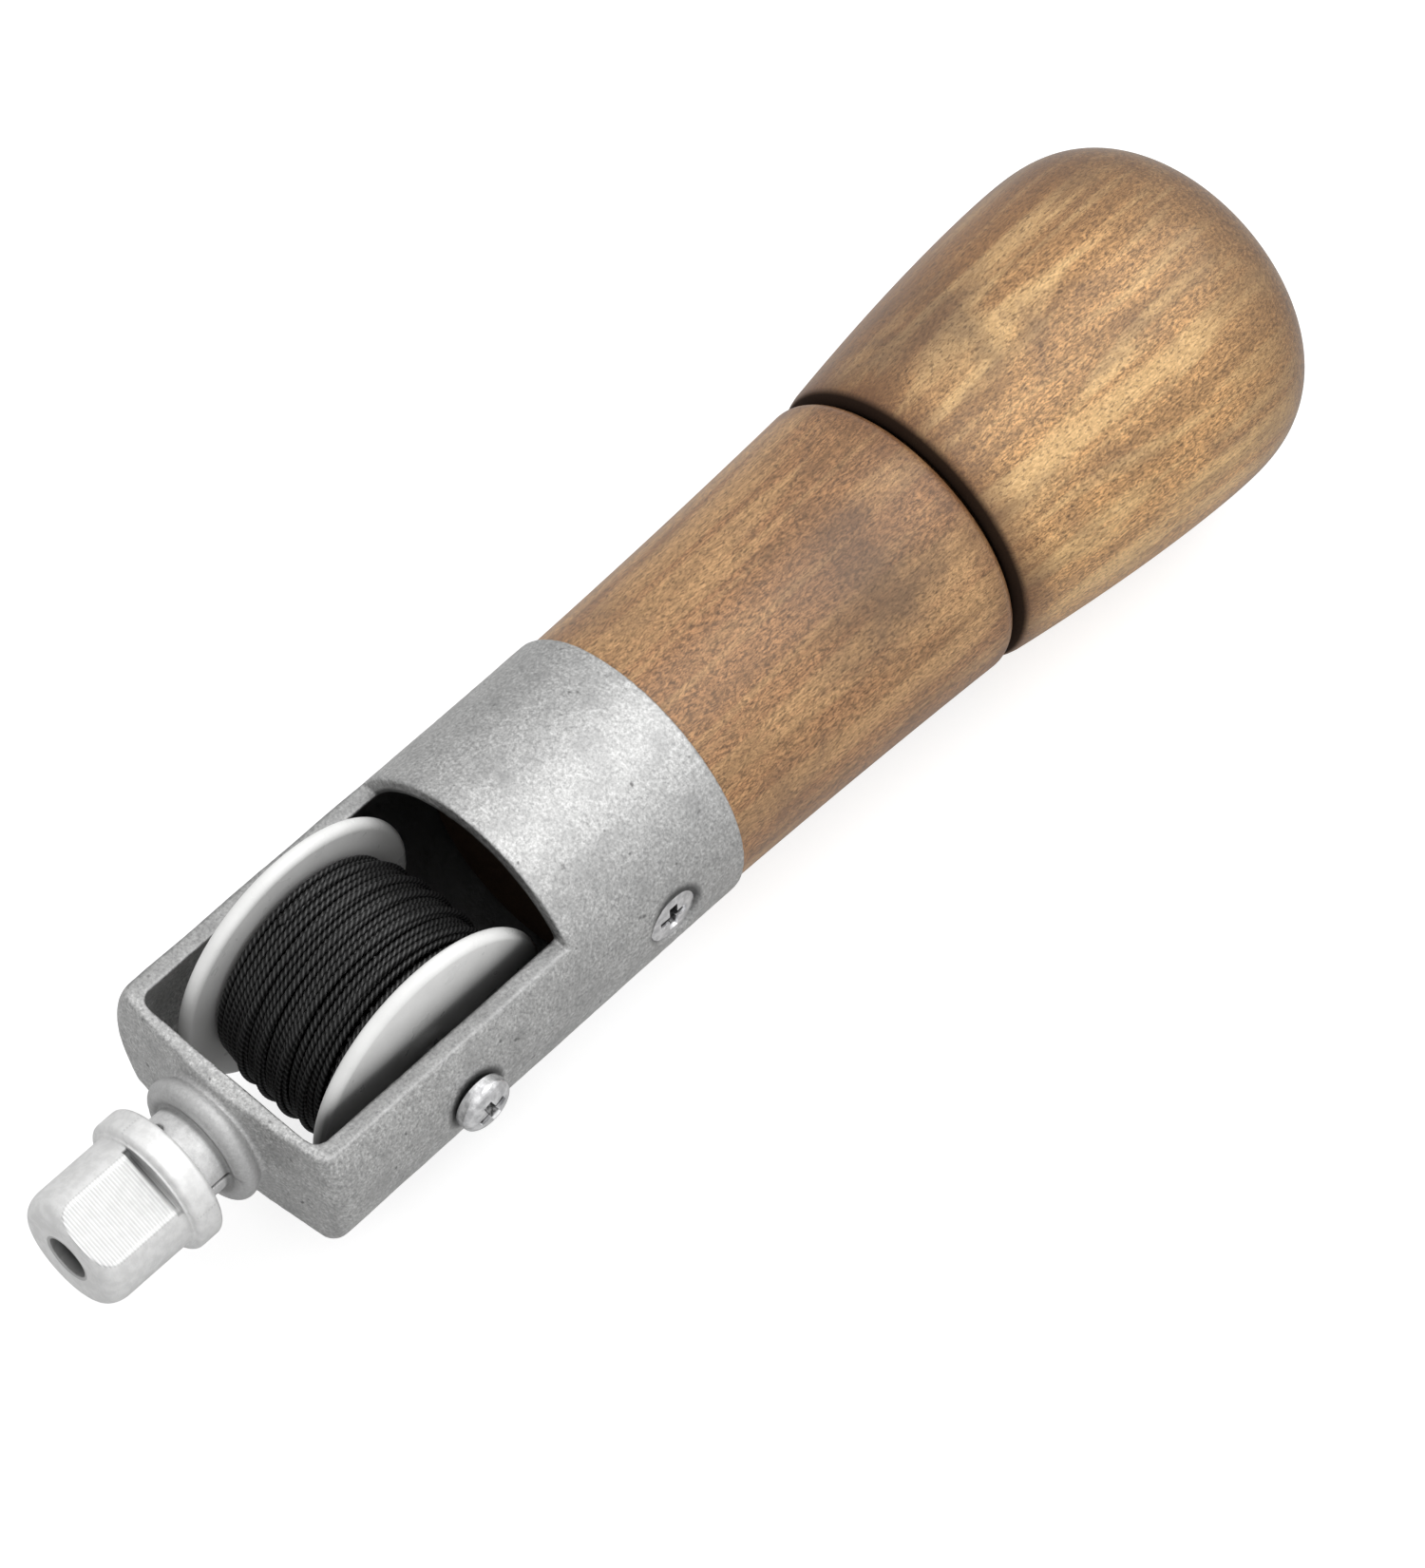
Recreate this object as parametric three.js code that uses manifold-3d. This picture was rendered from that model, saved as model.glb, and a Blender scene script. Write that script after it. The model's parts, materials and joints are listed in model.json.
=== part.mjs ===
// A hand-held lockstitch sewing awl. The tool lies along Y with its nose at -Y, its spool window opens
// along Z, and the head of the spool's axle screw points to +X. The origin is on the axis, at mid-length.
import * as THREE from "three";
import { mergeVertices } from "three/addons/utils/BufferGeometryUtils.js";
import Module from "manifold-3d";

const wasm = await Module();
wasm.setup();

// ---------- driving dimensions, mm ----------
// A station is a distance from the nose along the tool's axis.
const LENGTH = 145;

const FERRULE_R = 14;
const FERRULE_BORE_R = 12.4;
const FERRULE_BACK = 67.5; // station of the ferrule's back edge
const FERRULE_SCREW = 58.9; // station of the two screws that hold the handle
const WINDOW_BACK = 47.5; // station where the window ends and the full tube begins
const WINDOW_HALF_HEIGHT = 6.54; // the yoke's two flats lie this far above and below the axis
const WALL_FRONT = 17.5; // station of the end wall's outer face, beside the boss
const WALL_BACK = 19.2; // station of its inner face

const AXLE = 34.4; // station of the spool's axle
const SPOOL_R = 13.35;
const SPOOL_HALF_WIDTH = 8.9;
const SPOOL_FLANGE = 1.5;
const SPOOL_HUB_R = 4.5;
const THREAD_EDGE_R = 10.4;
const THREAD_MIDDLE_R = 11.1;

const NUT_R = 5.72;
const NUT_FLANGE_R = 6.7;
const NUT_HALF_FLATS = 4.7;
const NUT_MOUTH_R = 2.1;
const NUT_FLANGE = 9.05; // station of the flange's front face
const NUT_BACK = 11.85; // station of the nut's back face
const NUT_TURN = 25; // the flats are turned this many degrees from level

const POST_R = 4.25;
const POST_THREAD_R = 3.5;
const POST_TIP = 1.7; // station of the post's front end
const NEEDLE_BORE_R = 1.25;
const SLIT_WIDTH = 0.45;
const SLIT_END = 14.95;
const SLIT_TILT = 5.5; // degrees
const THREAD_HOLE = 11.7; // station of the thread's way into the needle bore
const THREAD_HOLE_R = 1.2;
const THREAD_HOLE_ANGLE = 116; // degrees round the axis from +X towards +Z
const BEAD_R = 6.3;
const BEAD_FRONT = 14.65;

const BARREL_FRONT_R = 13.57; // at the ferrule's back edge
const BARREL_BACK_R = 14.85; // at the joint with the cap
const BARREL_WAIST = 0.6; // four times the sag of the barrel's outline at mid-length
const JOINT = 102.3; // station where the barrel meets the cap
const SPIGOT_R = 10;
const SPIGOT_LENGTH = 12;
const STORE_R = 8; // storage bore through the barrel and into the cap
const STORE_FRONT = 62;
const STORE_BACK = 132;

const CAP_FRONT_R = 15.07;
const CAP_MAX_R = 17.8;
const CAP_MAX = 131.5; // station of the cap's greatest radius
const CAP_EDGE = 1.2; // rounding of the cap's front edge
const CAP_SWELL = 1.6; // power of the curve from the front edge to the greatest radius
const CAP_DOME = 2.75; // power of the superellipse that closes the end

const M3_R = 1.45;
const WRENCH_THICKNESS = 1.3;
const GAP = 0.3; // between faces that touch
const FINE = 40; // sides of a large turned surface
const SMALL = 20; // sides of a small turned surface

// ---------- helpers ----------
const radians = THREE.MathUtils.degToRad;
const along = (station) => station - LENGTH / 2;

function solid(geometry) {
  const bare = geometry.index ? geometry.toNonIndexed() : geometry.clone();
  bare.deleteAttribute("normal");
  bare.deleteAttribute("uv");
  const merged = mergeVertices(bare, 1e-4);
  return new wasm.Manifold(
    new wasm.Mesh({
      numProp: 3,
      vertProperties: merged.attributes.position.array,
      triVerts: new Uint32Array(merged.index.array),
    }),
  );
}

function geometryOf(manifold) {
  const mesh = manifold.getMesh();
  const geometry = new THREE.BufferGeometry();
  geometry.setAttribute("position", new THREE.BufferAttribute(new Float32Array(mesh.vertProperties), 3));
  geometry.setIndex(new THREE.BufferAttribute(new Uint32Array(mesh.triVerts), 1));
  const faceted = geometry.toNonIndexed();
  faceted.computeVertexNormals();
  return faceted;
}

const joined = (first, ...others) => others.reduce((sum, next) => sum.add(next), first);
const cut = (body, ...tools) => tools.reduce((rest, tool) => rest.subtract(tool), body);

// Points of an arc of a turned profile: centre [radius, station], angles in degrees from outward towards
// the back. Another length along the axis makes it an ellipse.
function arc(radius, station, size, from, to, steps = 4, length = size) {
  return Array.from({ length: steps + 1 }, (_, i) => {
    const angle = radians(from + ((to - from) * i) / steps);
    return [radius + size * Math.cos(angle), station + length * Math.sin(angle)];
  });
}

// A body turned about the tool's axis. The profile is a list of [radius, station] from nose to back.
function turned(profile, sides = FINE) {
  const points = profile.map(([radius, station]) => new THREE.Vector2(radius, along(station)));
  return solid(new THREE.LatheGeometry(points, sides));
}

// A body turned about an axis parallel to X through a station. The profile is a list of [radius, x].
function turnedAboutX(profile, station, sides = SMALL) {
  const points = profile.map(([radius, x]) => new THREE.Vector2(radius, x));
  const geometry = new THREE.LatheGeometry(points, sides);
  geometry.rotateZ(radians(-90));
  geometry.translate(0, along(station), 0);
  return solid(geometry);
}

function rod(radius, from, to, sides = SMALL) {
  return turned([[0, from], [radius, from], [radius, to], [0, to]], sides);
}

function rodAlongX(radius, from, to, station, sides = SMALL) {
  return turnedAboutX([[0, from], [radius, from], [radius, to], [0, to]], station, sides);
}

// A block given by its size and centre, turned round the tool's axis by an angle in degrees.
function block(width, length, height, x, station, z, angle = 0) {
  const geometry = new THREE.BoxGeometry(width, length, height);
  geometry.translate(x, along(station), z);
  geometry.rotateY(radians(-angle));
  return solid(geometry);
}

function part(name, shape, colour, roughness, metalness) {
  const material = new THREE.MeshStandardMaterial({ color: colour, roughness, metalness });
  const mesh = new THREE.Mesh(geometryOf(shape), material);
  mesh.name = name;
  return mesh;
}

// ---------- frame ----------
// The yoke's outside: a tube closed by a slightly domed end wall with a rounded rim.
function yokeOutside() {
  const rim = 1.4;
  const domeRise = 1;
  return turned([
    [0, WALL_FRONT],
    [BEAD_R, WALL_FRONT],
    ...arc(FERRULE_R - rim, WALL_FRONT + domeRise + rim, rim, -90, 0),
    [FERRULE_R, FERRULE_BACK],
    [0, FERRULE_BACK],
  ]);
}

function yokeCavity() {
  const corner = 1.2;
  return turned([
    [0, WALL_BACK],
    ...arc(FERRULE_BORE_R - corner, WALL_BACK + corner, corner, -90, 0, 3),
    [FERRULE_BORE_R, FERRULE_BACK + 1],
    [0, FERRULE_BACK + 1],
  ]);
}

// The flats that open the window, above or below the axis.
function windowCut(side) {
  const height = 10;
  const width = 2 * FERRULE_R + 2;
  return block(width, WINDOW_BACK, height, 0, WINDOW_BACK / 2, side * (WINDOW_HALF_HEIGHT + height / 2));
}

// The beaded boss on the end wall and the needle post that grows out of it.
function bossAndPost() {
  const bead = 1.1;
  const tipChamfer = 1.2;
  const threadEnd = NUT_BACK - 0.9;
  const filletR = 8.2;
  const inWall = (WALL_FRONT + WALL_BACK) / 2;
  return turned([
    [0, POST_TIP],
    [POST_THREAD_R - tipChamfer, POST_TIP],
    [POST_THREAD_R, POST_TIP + tipChamfer],
    [POST_THREAD_R, threadEnd],
    [POST_R, threadEnd + 0.4],
    [POST_R, SLIT_END],
    ...arc(BEAD_R - bead, BEAD_FRONT + bead, bead, -120, 60, 6),
    [BEAD_R - 0.4, WALL_FRONT - 0.3],
    [filletR, WALL_FRONT + 0.35],
    [filletR, inWall],
    [0, inWall],
  ]);
}

// Bosses inside the side walls that keep the spool in the middle.
function axleBoss(side) {
  const radius = 3.4;
  const face = SPOOL_HALF_WIDTH + 0.4;
  const root = FERRULE_BORE_R + 0.5;
  return rodAlongX(radius, side > 0 ? face : -root, side > 0 ? root : -face, AXLE);
}

// The countersunk hole of a ferrule screw.
function countersink(side) {
  const holeR = 1.6;
  const mouthR = 3.05;
  const innerEnd = FERRULE_BORE_R - 2;
  const outerEnd = FERRULE_R + 2;
  const hole = turnedAboutX([
    [0, innerEnd],
    [holeR, innerEnd],
    [holeR, FERRULE_R - 1.6],
    [mouthR, FERRULE_R - 0.15],
    [mouthR, outerEnd],
    [0, outerEnd],
  ], FERRULE_SCREW);
  return side > 0 ? hole : hole.mirror([1, 0, 0]);
}

// The hole that leads the thread from the spool side into the needle bore.
function threadHole() {
  const depth = 6;
  const hole = new THREE.CylinderGeometry(THREAD_HOLE_R, THREAD_HOLE_R, depth, 16);
  hole.translate(0, depth / 2, 0);
  hole.rotateZ(radians(THREAD_HOLE_ANGLE - 90));
  hole.rotateX(radians(90));
  hole.translate(0, along(THREAD_HOLE), 0);
  return solid(hole);
}

// The saw cut that splits the post into two springy halves.
function slit() {
  const width = 12;
  return block(width, SLIT_END, SLIT_WIDTH, 0, SLIT_END / 2, 0, SLIT_TILT);
}

function frame() {
  const cavity = cut(yokeCavity(), axleBoss(1), axleBoss(-1));
  return cut(
    joined(cut(yokeOutside(), cavity), bossAndPost()),
    windowCut(1),
    windowCut(-1),
    rod(NEEDLE_BORE_R, POST_TIP - 1, WALL_BACK + 1, 16),
    slit(),
    threadHole(),
    rodAlongX(M3_R + 0.1, -FERRULE_R - 1, FERRULE_R + 1, AXLE),
    countersink(1),
    countersink(-1),
  );
}

// ---------- chuck nut ----------
function chuckNut() {
  const noseR = 1.3;
  const noseLength = 2;
  const frontEdge = 0.5;
  const backEdge = 0.6;
  const stepR = NUT_R + 0.3;
  const flatEnd = NUT_FLANGE - 0.25;
  const boreR = POST_THREAD_R + 0.15;
  const backBore = NUT_BACK - 1.2;
  const sides = 40;
  const outside = turned([
    [0, 0],
    ...arc(NUT_R - noseR, noseLength, noseR, -90, 0, 5, noseLength),
    [NUT_R, flatEnd],
    [stepR, flatEnd],
    [stepR, NUT_FLANGE],
    ...arc(NUT_FLANGE_R - frontEdge, NUT_FLANGE + frontEdge, frontEdge, -90, 0, 2),
    ...arc(NUT_FLANGE_R - backEdge, NUT_BACK - backEdge, backEdge, 0, 90, 3),
    [0, NUT_BACK],
  ], sides);
  const inside = turned([
    [0, -1],
    [NUT_MOUTH_R, -1],
    [NUT_MOUTH_R, 1.2],
    [boreR, 2.9],
    [boreR, backBore - 0.3],
    [POST_R + GAP, backBore],
    [POST_R + GAP, NUT_BACK + 1],
    [0, NUT_BACK + 1],
  ], sides);
  const width = 20;
  const depth = 4;
  const middle = NUT_HALF_FLATS + depth / 2;
  const flat = (side) => block(width, flatEnd, depth, 0, flatEnd / 2, side * middle, -NUT_TURN);
  return cut(outside, inside, flat(1), flat(-1));
}

// ---------- spool and thread ----------
function spool() {
  const outer = SPOOL_HALF_WIDTH;
  const inner = SPOOL_HALF_WIDTH - SPOOL_FLANGE;
  const round = SPOOL_FLANGE / 2;
  const rim = (x) => arc(SPOOL_R - round, x, round, -90, 90, 4);
  const body = turnedAboutX([
    [0, -outer],
    ...rim(-outer + round),
    [SPOOL_HUB_R, -inner],
    [SPOOL_HUB_R, inner],
    ...rim(outer - round),
    [0, outer],
  ], AXLE, FINE);
  return cut(body, rodAlongX(M3_R + 0.25, -outer - 1, outer + 1, AXLE));
}

function threadWinding() {
  const half = SPOOL_HALF_WIDTH - SPOOL_FLANGE - 0.1;
  const crown = Array.from({ length: 7 }, (_, i) => {
    const share = (i / 6) * 2 - 1;
    return [THREAD_MIDDLE_R - (THREAD_MIDDLE_R - THREAD_EDGE_R) * share ** 2, share * half];
  });
  const body = turnedAboutX([[0, -half], ...crown, [0, half]], AXLE, FINE);
  return cut(body, rodAlongX(SPOOL_HUB_R + 0.1, -half - 1, half + 1, AXLE, FINE));
}

// ---------- screws ----------
// The cross recess of a screw head whose top is at x.
function crossRecess(x, station, size, depth) {
  const slot = size / 3.2;
  const bars = [[size, slot], [slot, size]].map(([wide, high]) => {
    const geometry = new THREE.BoxGeometry(depth * 2, wide, high);
    geometry.translate(x, along(station), 0);
    return solid(geometry);
  });
  return joined(...bars);
}

function axleScrew() {
  const tip = -FERRULE_R + 0.2;
  const seat = FERRULE_R + 0.05;
  const headR = 2.7;
  const head = 1.95;
  const body = turnedAboutX([
    [0, tip],
    [M3_R - 0.3, tip],
    [M3_R, tip + 0.4],
    [M3_R, seat],
    [headR, seat],
    [headR, seat + 0.7],
    [2.3, seat + 1.45],
    [1.4, seat + head - 0.08],
    [0, seat + head],
  ], AXLE);
  const recess = 2.9;
  const recessDepth = 1.1;
  return cut(body, crossRecess(seat + head, AXLE, recess, recessDepth));
}

function ferruleScrew(side) {
  const tip = 6;
  const top = FERRULE_R - 0.3;
  const coreR = 1.25;
  const headR = 2.75;
  const recess = 3;
  const recessDepth = 1;
  const body = turnedAboutX([
    [0, tip],
    [0.9, tip + 1.4],
    [coreR, tip + 2],
    [coreR, top - 1.6],
    [headR, top - 0.1],
    [headR - 0.15, top],
    [0, top],
  ], FERRULE_SCREW);
  const screw = cut(body, crossRecess(top, FERRULE_SCREW, recess, recessDepth));
  return side > 0 ? screw : screw.mirror([1, 0, 0]);
}

// ---------- wooden handle ----------
function barrelRadius(station) {
  const share = (station - FERRULE_BACK) / (JOINT - FERRULE_BACK);
  return BARREL_FRONT_R + (BARREL_BACK_R - BARREL_FRONT_R) * share - BARREL_WAIST * share * (1 - share);
}

// The barrel: a tenon inside the ferrule, the grip, and the spigot that the cap screws onto.
function handleBarrel() {
  const tenonFront = 54.5;
  const tenonR = FERRULE_BORE_R - 0.1;
  const edge = 1.6;
  const visibleFront = FERRULE_BACK + 0.05;
  const gripLength = JOINT - edge - visibleFront;
  const stations = Array.from({ length: 6 }, (_, i) => visibleFront + (gripLength * i) / 5);
  const spigotEnd = JOINT + SPIGOT_LENGTH;
  const body = turned([
    [0, tenonFront],
    [tenonR - 0.8, tenonFront],
    [tenonR, tenonFront + 0.8],
    [tenonR, visibleFront],
    ...stations.map((station) => [barrelRadius(station), station]),
    ...arc(barrelRadius(JOINT - edge) - edge, JOINT - edge, edge, 15, 90, 4),
    [SPIGOT_R, JOINT],
    [SPIGOT_R, spigotEnd - 0.8],
    [SPIGOT_R - 0.8, spigotEnd],
    [0, spigotEnd],
  ]);
  const pilotR = 1.5;
  const pilotDepth = 5.5;
  return cut(
    body,
    rod(STORE_R, STORE_FRONT, spigotEnd + 1, FINE),
    rodAlongX(pilotR, pilotDepth, FERRULE_R, FERRULE_SCREW),
    rodAlongX(pilotR, -FERRULE_R, -pilotDepth, FERRULE_SCREW),
  );
}

// The cap swells from its front edge to its greatest radius, and closes in a full, slightly flattened dome.
function capRadius(station) {
  if (station <= CAP_MAX) {
    const share = (CAP_MAX - station) / (CAP_MAX - JOINT - CAP_EDGE);
    return CAP_MAX_R - (CAP_MAX_R - CAP_FRONT_R) * Math.max(share, 0) ** CAP_SWELL;
  }
  const share = Math.min((station - CAP_MAX) / (LENGTH - CAP_MAX), 1);
  return CAP_MAX_R * (1 - share ** CAP_DOME) ** (1 / CAP_DOME);
}

function handleCap() {
  const front = JOINT + GAP;
  const swellFront = front + CAP_EDGE;
  const swell = Array.from({ length: 8 }, (_, i) => swellFront + ((CAP_MAX - swellFront) * i) / 7);
  const domeStep = 7.5;
  const domeAngles = Array.from({ length: 11 }, (_, i) => domeStep * (i + 1));
  const dome = domeAngles.map((angle) => CAP_MAX + (LENGTH - CAP_MAX) * Math.sin(radians(angle)));
  const body = turned([
    [0, front],
    ...arc(CAP_FRONT_R - CAP_EDGE, swellFront, CAP_EDGE, -90, -15, 4),
    ...[...swell, ...dome].map((station) => [capRadius(station), station]),
    [0, LENGTH],
  ]);
  const socket = JOINT + SPIGOT_LENGTH + 0.5;
  const storeEdge = 3;
  return cut(body, turned([
    [0, front - 1],
    [SPIGOT_R + GAP, front - 1],
    [SPIGOT_R + GAP, socket],
    [STORE_R, socket],
    [STORE_R, STORE_BACK - storeEdge],
    [STORE_R - storeEdge, STORE_BACK],
    [0, STORE_BACK],
  ]));
}

// ---------- wrench and needles, stored in the handle ----------
// The wrench in plan, its head at the top: a double-D ring on a flat handle with a round-cornered tip.
function wrenchOutline(length) {
  const headR = 9;
  const headHalfFlats = 7.3;
  const halfHandle = 3;
  const neck = 1.5;
  const tip = 1.5;
  const centre = length - headR;
  const flatAngle = Math.acos(headHalfFlats / headR);
  const neckHeight = Math.sqrt((headR + neck) ** 2 - (halfHandle + neck) ** 2);
  const neckAngle = Math.atan2(neckHeight, halfHandle + neck);
  const outline = new THREE.Shape();
  outline.moveTo(halfHandle, tip);
  outline.absarc(halfHandle + neck, centre - neckHeight, neck, Math.PI, Math.PI - neckAngle, true);
  outline.absarc(0, centre, headR, -neckAngle, -flatAngle, false);
  outline.absarc(0, centre, headR, flatAngle, Math.PI - flatAngle, false);
  outline.absarc(0, centre, headR, Math.PI + flatAngle, Math.PI + neckAngle, false);
  outline.absarc(-halfHandle - neck, centre - neckHeight, neck, neckAngle, 0, true);
  outline.absarc(-halfHandle + tip, tip, tip, Math.PI, Math.PI * 1.5, false);
  outline.absarc(halfHandle - tip, tip, tip, Math.PI * 1.5, Math.PI * 2, false);
  const hole = new THREE.Path();
  const holeR = NUT_R + 0.15;
  const holeAngle = Math.acos((NUT_HALF_FLATS + 0.15) / holeR);
  hole.absarc(0, centre, holeR, holeAngle, Math.PI - holeAngle, false);
  hole.absarc(0, centre, holeR, Math.PI + holeAngle, 2 * Math.PI - holeAngle, false);
  hole.closePath();
  outline.holes.push(hole);
  return outline;
}

// The wrench, with its tip ground to a shallow wedge.
function wrench(z) {
  const front = STORE_FRONT + 1;
  const length = 55;
  const plate = new THREE.ExtrudeGeometry(wrenchOutline(length), {
    depth: WRENCH_THICKNESS,
    bevelEnabled: false,
    curveSegments: 10,
  });
  plate.translate(0, along(front), z);
  const wedgeLength = 6;
  const wedgeHeight = 2;
  const wedgeSlope = 8;
  const wedgeDepth = 0.65;
  const wedge = new THREE.BoxGeometry(10, 2 * wedgeLength, wedgeHeight);
  wedge.translate(0, 0, wedgeHeight / 2);
  wedge.rotateX(radians(wedgeSlope));
  wedge.translate(0, along(front), z + WRENCH_THICKNESS - wedgeDepth);
  return cut(solid(plate), solid(wedge));
}

// A needle with a long eye behind its point, a thread groove, and a channelled, forked shank.
function needle(length, bladeR, shankR, x, z) {
  const point = STORE_FRONT + 1.5;
  const end = point + length;
  const shank = 12;
  const sides = 16;
  const body = turned([
    [0, point],
    [bladeR * 0.55, point + 2],
    [bladeR, point + 5],
    [bladeR, end - shank - 3],
    [shankR, end - shank],
    [shankR, end],
    [0, end],
  ], sides);
  const eyeWidth = 0.55;
  const eyeLength = 3.4;
  const eyeCentre = point + 7.2;
  const through = 8;
  const grooveWidth = 0.5;
  const grooveFront = point + 5.5;
  const grooveLength = length - shank;
  const grooveHeight = bladeR + 0.2;
  const channelHeight = 4;
  const channelFloor = -0.1 * shankR;
  return cut(
    body,
    block(eyeWidth, eyeLength, through, 0, eyeCentre, 0),
    block(grooveWidth, grooveLength, 1, 0, grooveFront + grooveLength / 2, grooveHeight),
    block(shankR * 0.9, shank, channelHeight, 0, end - shank / 2 + 0.5, channelFloor + channelHeight / 2),
  ).translate([x, 0, z]);
}

// ---------- assembly ----------
const CAST = ["#c3c3c1", 0.55, 1];
const TURNED_ALUMINIUM = ["#e4e4e2", 0.3, 1];
const PLATED = ["#c9c9c9", 0.2, 1];
const STEEL = ["#c4c6c8", 0.3, 1];
const WOOD = ["#8f6a45", 0.5, 0];

const awl = new THREE.Group();

const handle = new THREE.Group();
handle.add(
  part("frame", frame(), ...CAST),
  part("ferrule_screw_right", ferruleScrew(1), ...PLATED),
  part("ferrule_screw_left", ferruleScrew(-1), ...PLATED),
  part("handle_barrel", handleBarrel(), ...WOOD),
);

const spoolGroup = new THREE.Group();
spoolGroup.add(
  part("spool", spool(), "#f2f2f0", 0.35, 0),
  part("thread_winding", threadWinding(), "#131313", 0.5, 0),
);

const wrenchBottom = -2.6;
const needleRest = wrenchBottom + WRENCH_THICKNESS + 0.1;
const needleSide = 2.4;
const FINE_NEEDLE = { length: 45, bladeR: 0.55, shankR: 1.05 };
const COARSE_NEEDLE = { length: 54, bladeR: 0.65, shankR: 1.2 };
const lyingNeedle = ({ length, bladeR, shankR }, x) => needle(length, bladeR, shankR, x, needleRest + shankR);
const storedTools = new THREE.Group();
storedTools.add(
  part("wrench", wrench(wrenchBottom), ...STEEL),
  part("needle_fine", lyingNeedle(FINE_NEEDLE, needleSide), ...STEEL),
  part("needle_coarse", lyingNeedle(COARSE_NEEDLE, -needleSide), ...STEEL),
);

awl.add(
  handle,
  spoolGroup,
  storedTools,
  part("chuck_nut", chuckNut(), ...TURNED_ALUMINIUM),
  part("axle_screw", axleScrew(), ...PLATED),
  part("handle_cap", handleCap(), ...WOOD),
);

export default awl;
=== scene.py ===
import json
import math

import bmesh
import bpy
import numpy as np
from mathutils import Matrix, Vector, noise


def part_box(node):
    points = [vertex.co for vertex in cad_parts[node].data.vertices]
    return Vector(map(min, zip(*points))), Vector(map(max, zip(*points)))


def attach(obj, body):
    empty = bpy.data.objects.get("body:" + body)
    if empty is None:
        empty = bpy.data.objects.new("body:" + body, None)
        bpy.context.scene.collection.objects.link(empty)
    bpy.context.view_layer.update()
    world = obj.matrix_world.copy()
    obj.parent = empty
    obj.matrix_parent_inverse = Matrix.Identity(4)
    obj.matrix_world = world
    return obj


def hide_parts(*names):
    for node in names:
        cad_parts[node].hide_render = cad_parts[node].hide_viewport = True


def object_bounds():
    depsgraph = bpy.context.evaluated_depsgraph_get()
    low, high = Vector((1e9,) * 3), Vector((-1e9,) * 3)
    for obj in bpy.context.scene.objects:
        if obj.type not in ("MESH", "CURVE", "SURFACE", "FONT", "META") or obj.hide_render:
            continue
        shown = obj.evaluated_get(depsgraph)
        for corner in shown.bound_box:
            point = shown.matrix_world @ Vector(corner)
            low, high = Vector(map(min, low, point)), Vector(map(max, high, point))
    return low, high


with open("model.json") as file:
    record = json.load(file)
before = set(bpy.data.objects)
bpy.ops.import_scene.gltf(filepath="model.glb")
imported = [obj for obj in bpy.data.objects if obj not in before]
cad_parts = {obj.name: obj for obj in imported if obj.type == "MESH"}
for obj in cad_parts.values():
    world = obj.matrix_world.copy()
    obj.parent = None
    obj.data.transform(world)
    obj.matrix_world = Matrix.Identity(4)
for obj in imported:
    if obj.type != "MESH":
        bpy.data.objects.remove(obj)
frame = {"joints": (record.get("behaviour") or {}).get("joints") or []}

cad_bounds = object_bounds()

# Meshes are built in millimetres in the row's frame, and place() turns them into metres.
# Y runs along the tool from its nose, and X along the spool's axle.
# A profile is a list of (radius, y).
MM = 0.001
ROUND = 192  # sides of a large turned surface
MOST_TRIANGLES = 190000  # in a remeshed piece


# ---------- driving dimensions, from the frame ----------
def corners(node):
    low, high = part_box(node)
    return low / MM, high / MM


def joint_place(name):
    joint = next(j for j in frame["joints"] if j["name"] == name)
    return joint["pos_m"][1] / MM


nut_low, nut_high = corners("chuck_nut")
frame_low, frame_high = corners("frame")
spool_high = corners("spool")[1]
thread_high = corners("thread_winding")[1]
barrel_low, barrel_high = corners("handle_barrel")
cap_low, cap_high = corners("handle_cap")
axle_low, axle_high = corners("axle_screw")
screw_low, screw_high = corners("ferrule_screw_right")

NOSE = nut_low.y
NUT_BACK = nut_high.y
NUT_FLANGE_R = (nut_high.x - nut_low.x) / 2
POST_TIP = frame_low.y
FERRULE_R = frame_high.x
FERRULE_BACK = frame_high.y
AXLE = joint_place("spool_spin")
JOINT = joint_place("cap_unscrew")
CAP_FRONT = cap_low.y
CAP_END = cap_high.y
CAP_R = cap_high.x
FERRULE_SCREW = (screw_low.y + screw_high.y) / 2
SPOOL_R = spool_high.z
SPOOL_HALF = spool_high.x
THREAD_HALF = thread_high.x
THREAD_R = thread_high.z

# Sizes that the boxes don't give.
FERRULE_BORE_R = 12.4
WINDOW_BACK = NOSE + 47.5  # where the window ends and the full tube begins
WINDOW_HALF_HEIGHT = 6.54
WALL_FRONT = NOSE + 17.5  # the end wall's faces
WALL_BACK = NOSE + 19.2
SLIT_END = NOSE + 14.95
BEAD_FRONT = NOSE + 14.65  # the round collar behind the post
BEAD_R = 6.3
POST_R = 4.25
POST_THREAD_R = 3.5
POST_PITCH = 1.0
NUT_MOUTH_R = 2.1
NUT_HALF_FLATS = 4.7
NUT_FLANGE = NOSE + 9.05
NUT_TURN = 25  # the flats are turned this many degrees from level
M3_R = 1.45
RECESS_REACH = 1.6  # from a screw's middle to the end of a cross recess's arm
THREAD_STEP = 0.12  # longest step of a threaded profile
SPIGOT_R = 10
STORE_R = 8
TENON_R = FERRULE_BORE_R - 0.1
CAP_THREAD_PITCH = 4.0


# ---------- mesh tools ----------
def mesh_object(points, faces):
    """A mesh, its faces turned outwards."""
    mesh = bpy.data.meshes.new("piece")
    mesh.from_pydata([tuple(p) for p in points], [], [tuple(f) for f in faces])
    piece = bpy.data.objects.new("piece", mesh)
    bpy.context.scene.collection.objects.link(piece)
    bm = bmesh.new()
    bm.from_mesh(mesh)
    bmesh.ops.recalc_face_normals(bm, faces=bm.faces)
    bm.to_mesh(mesh)
    bm.free()
    return piece


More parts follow.
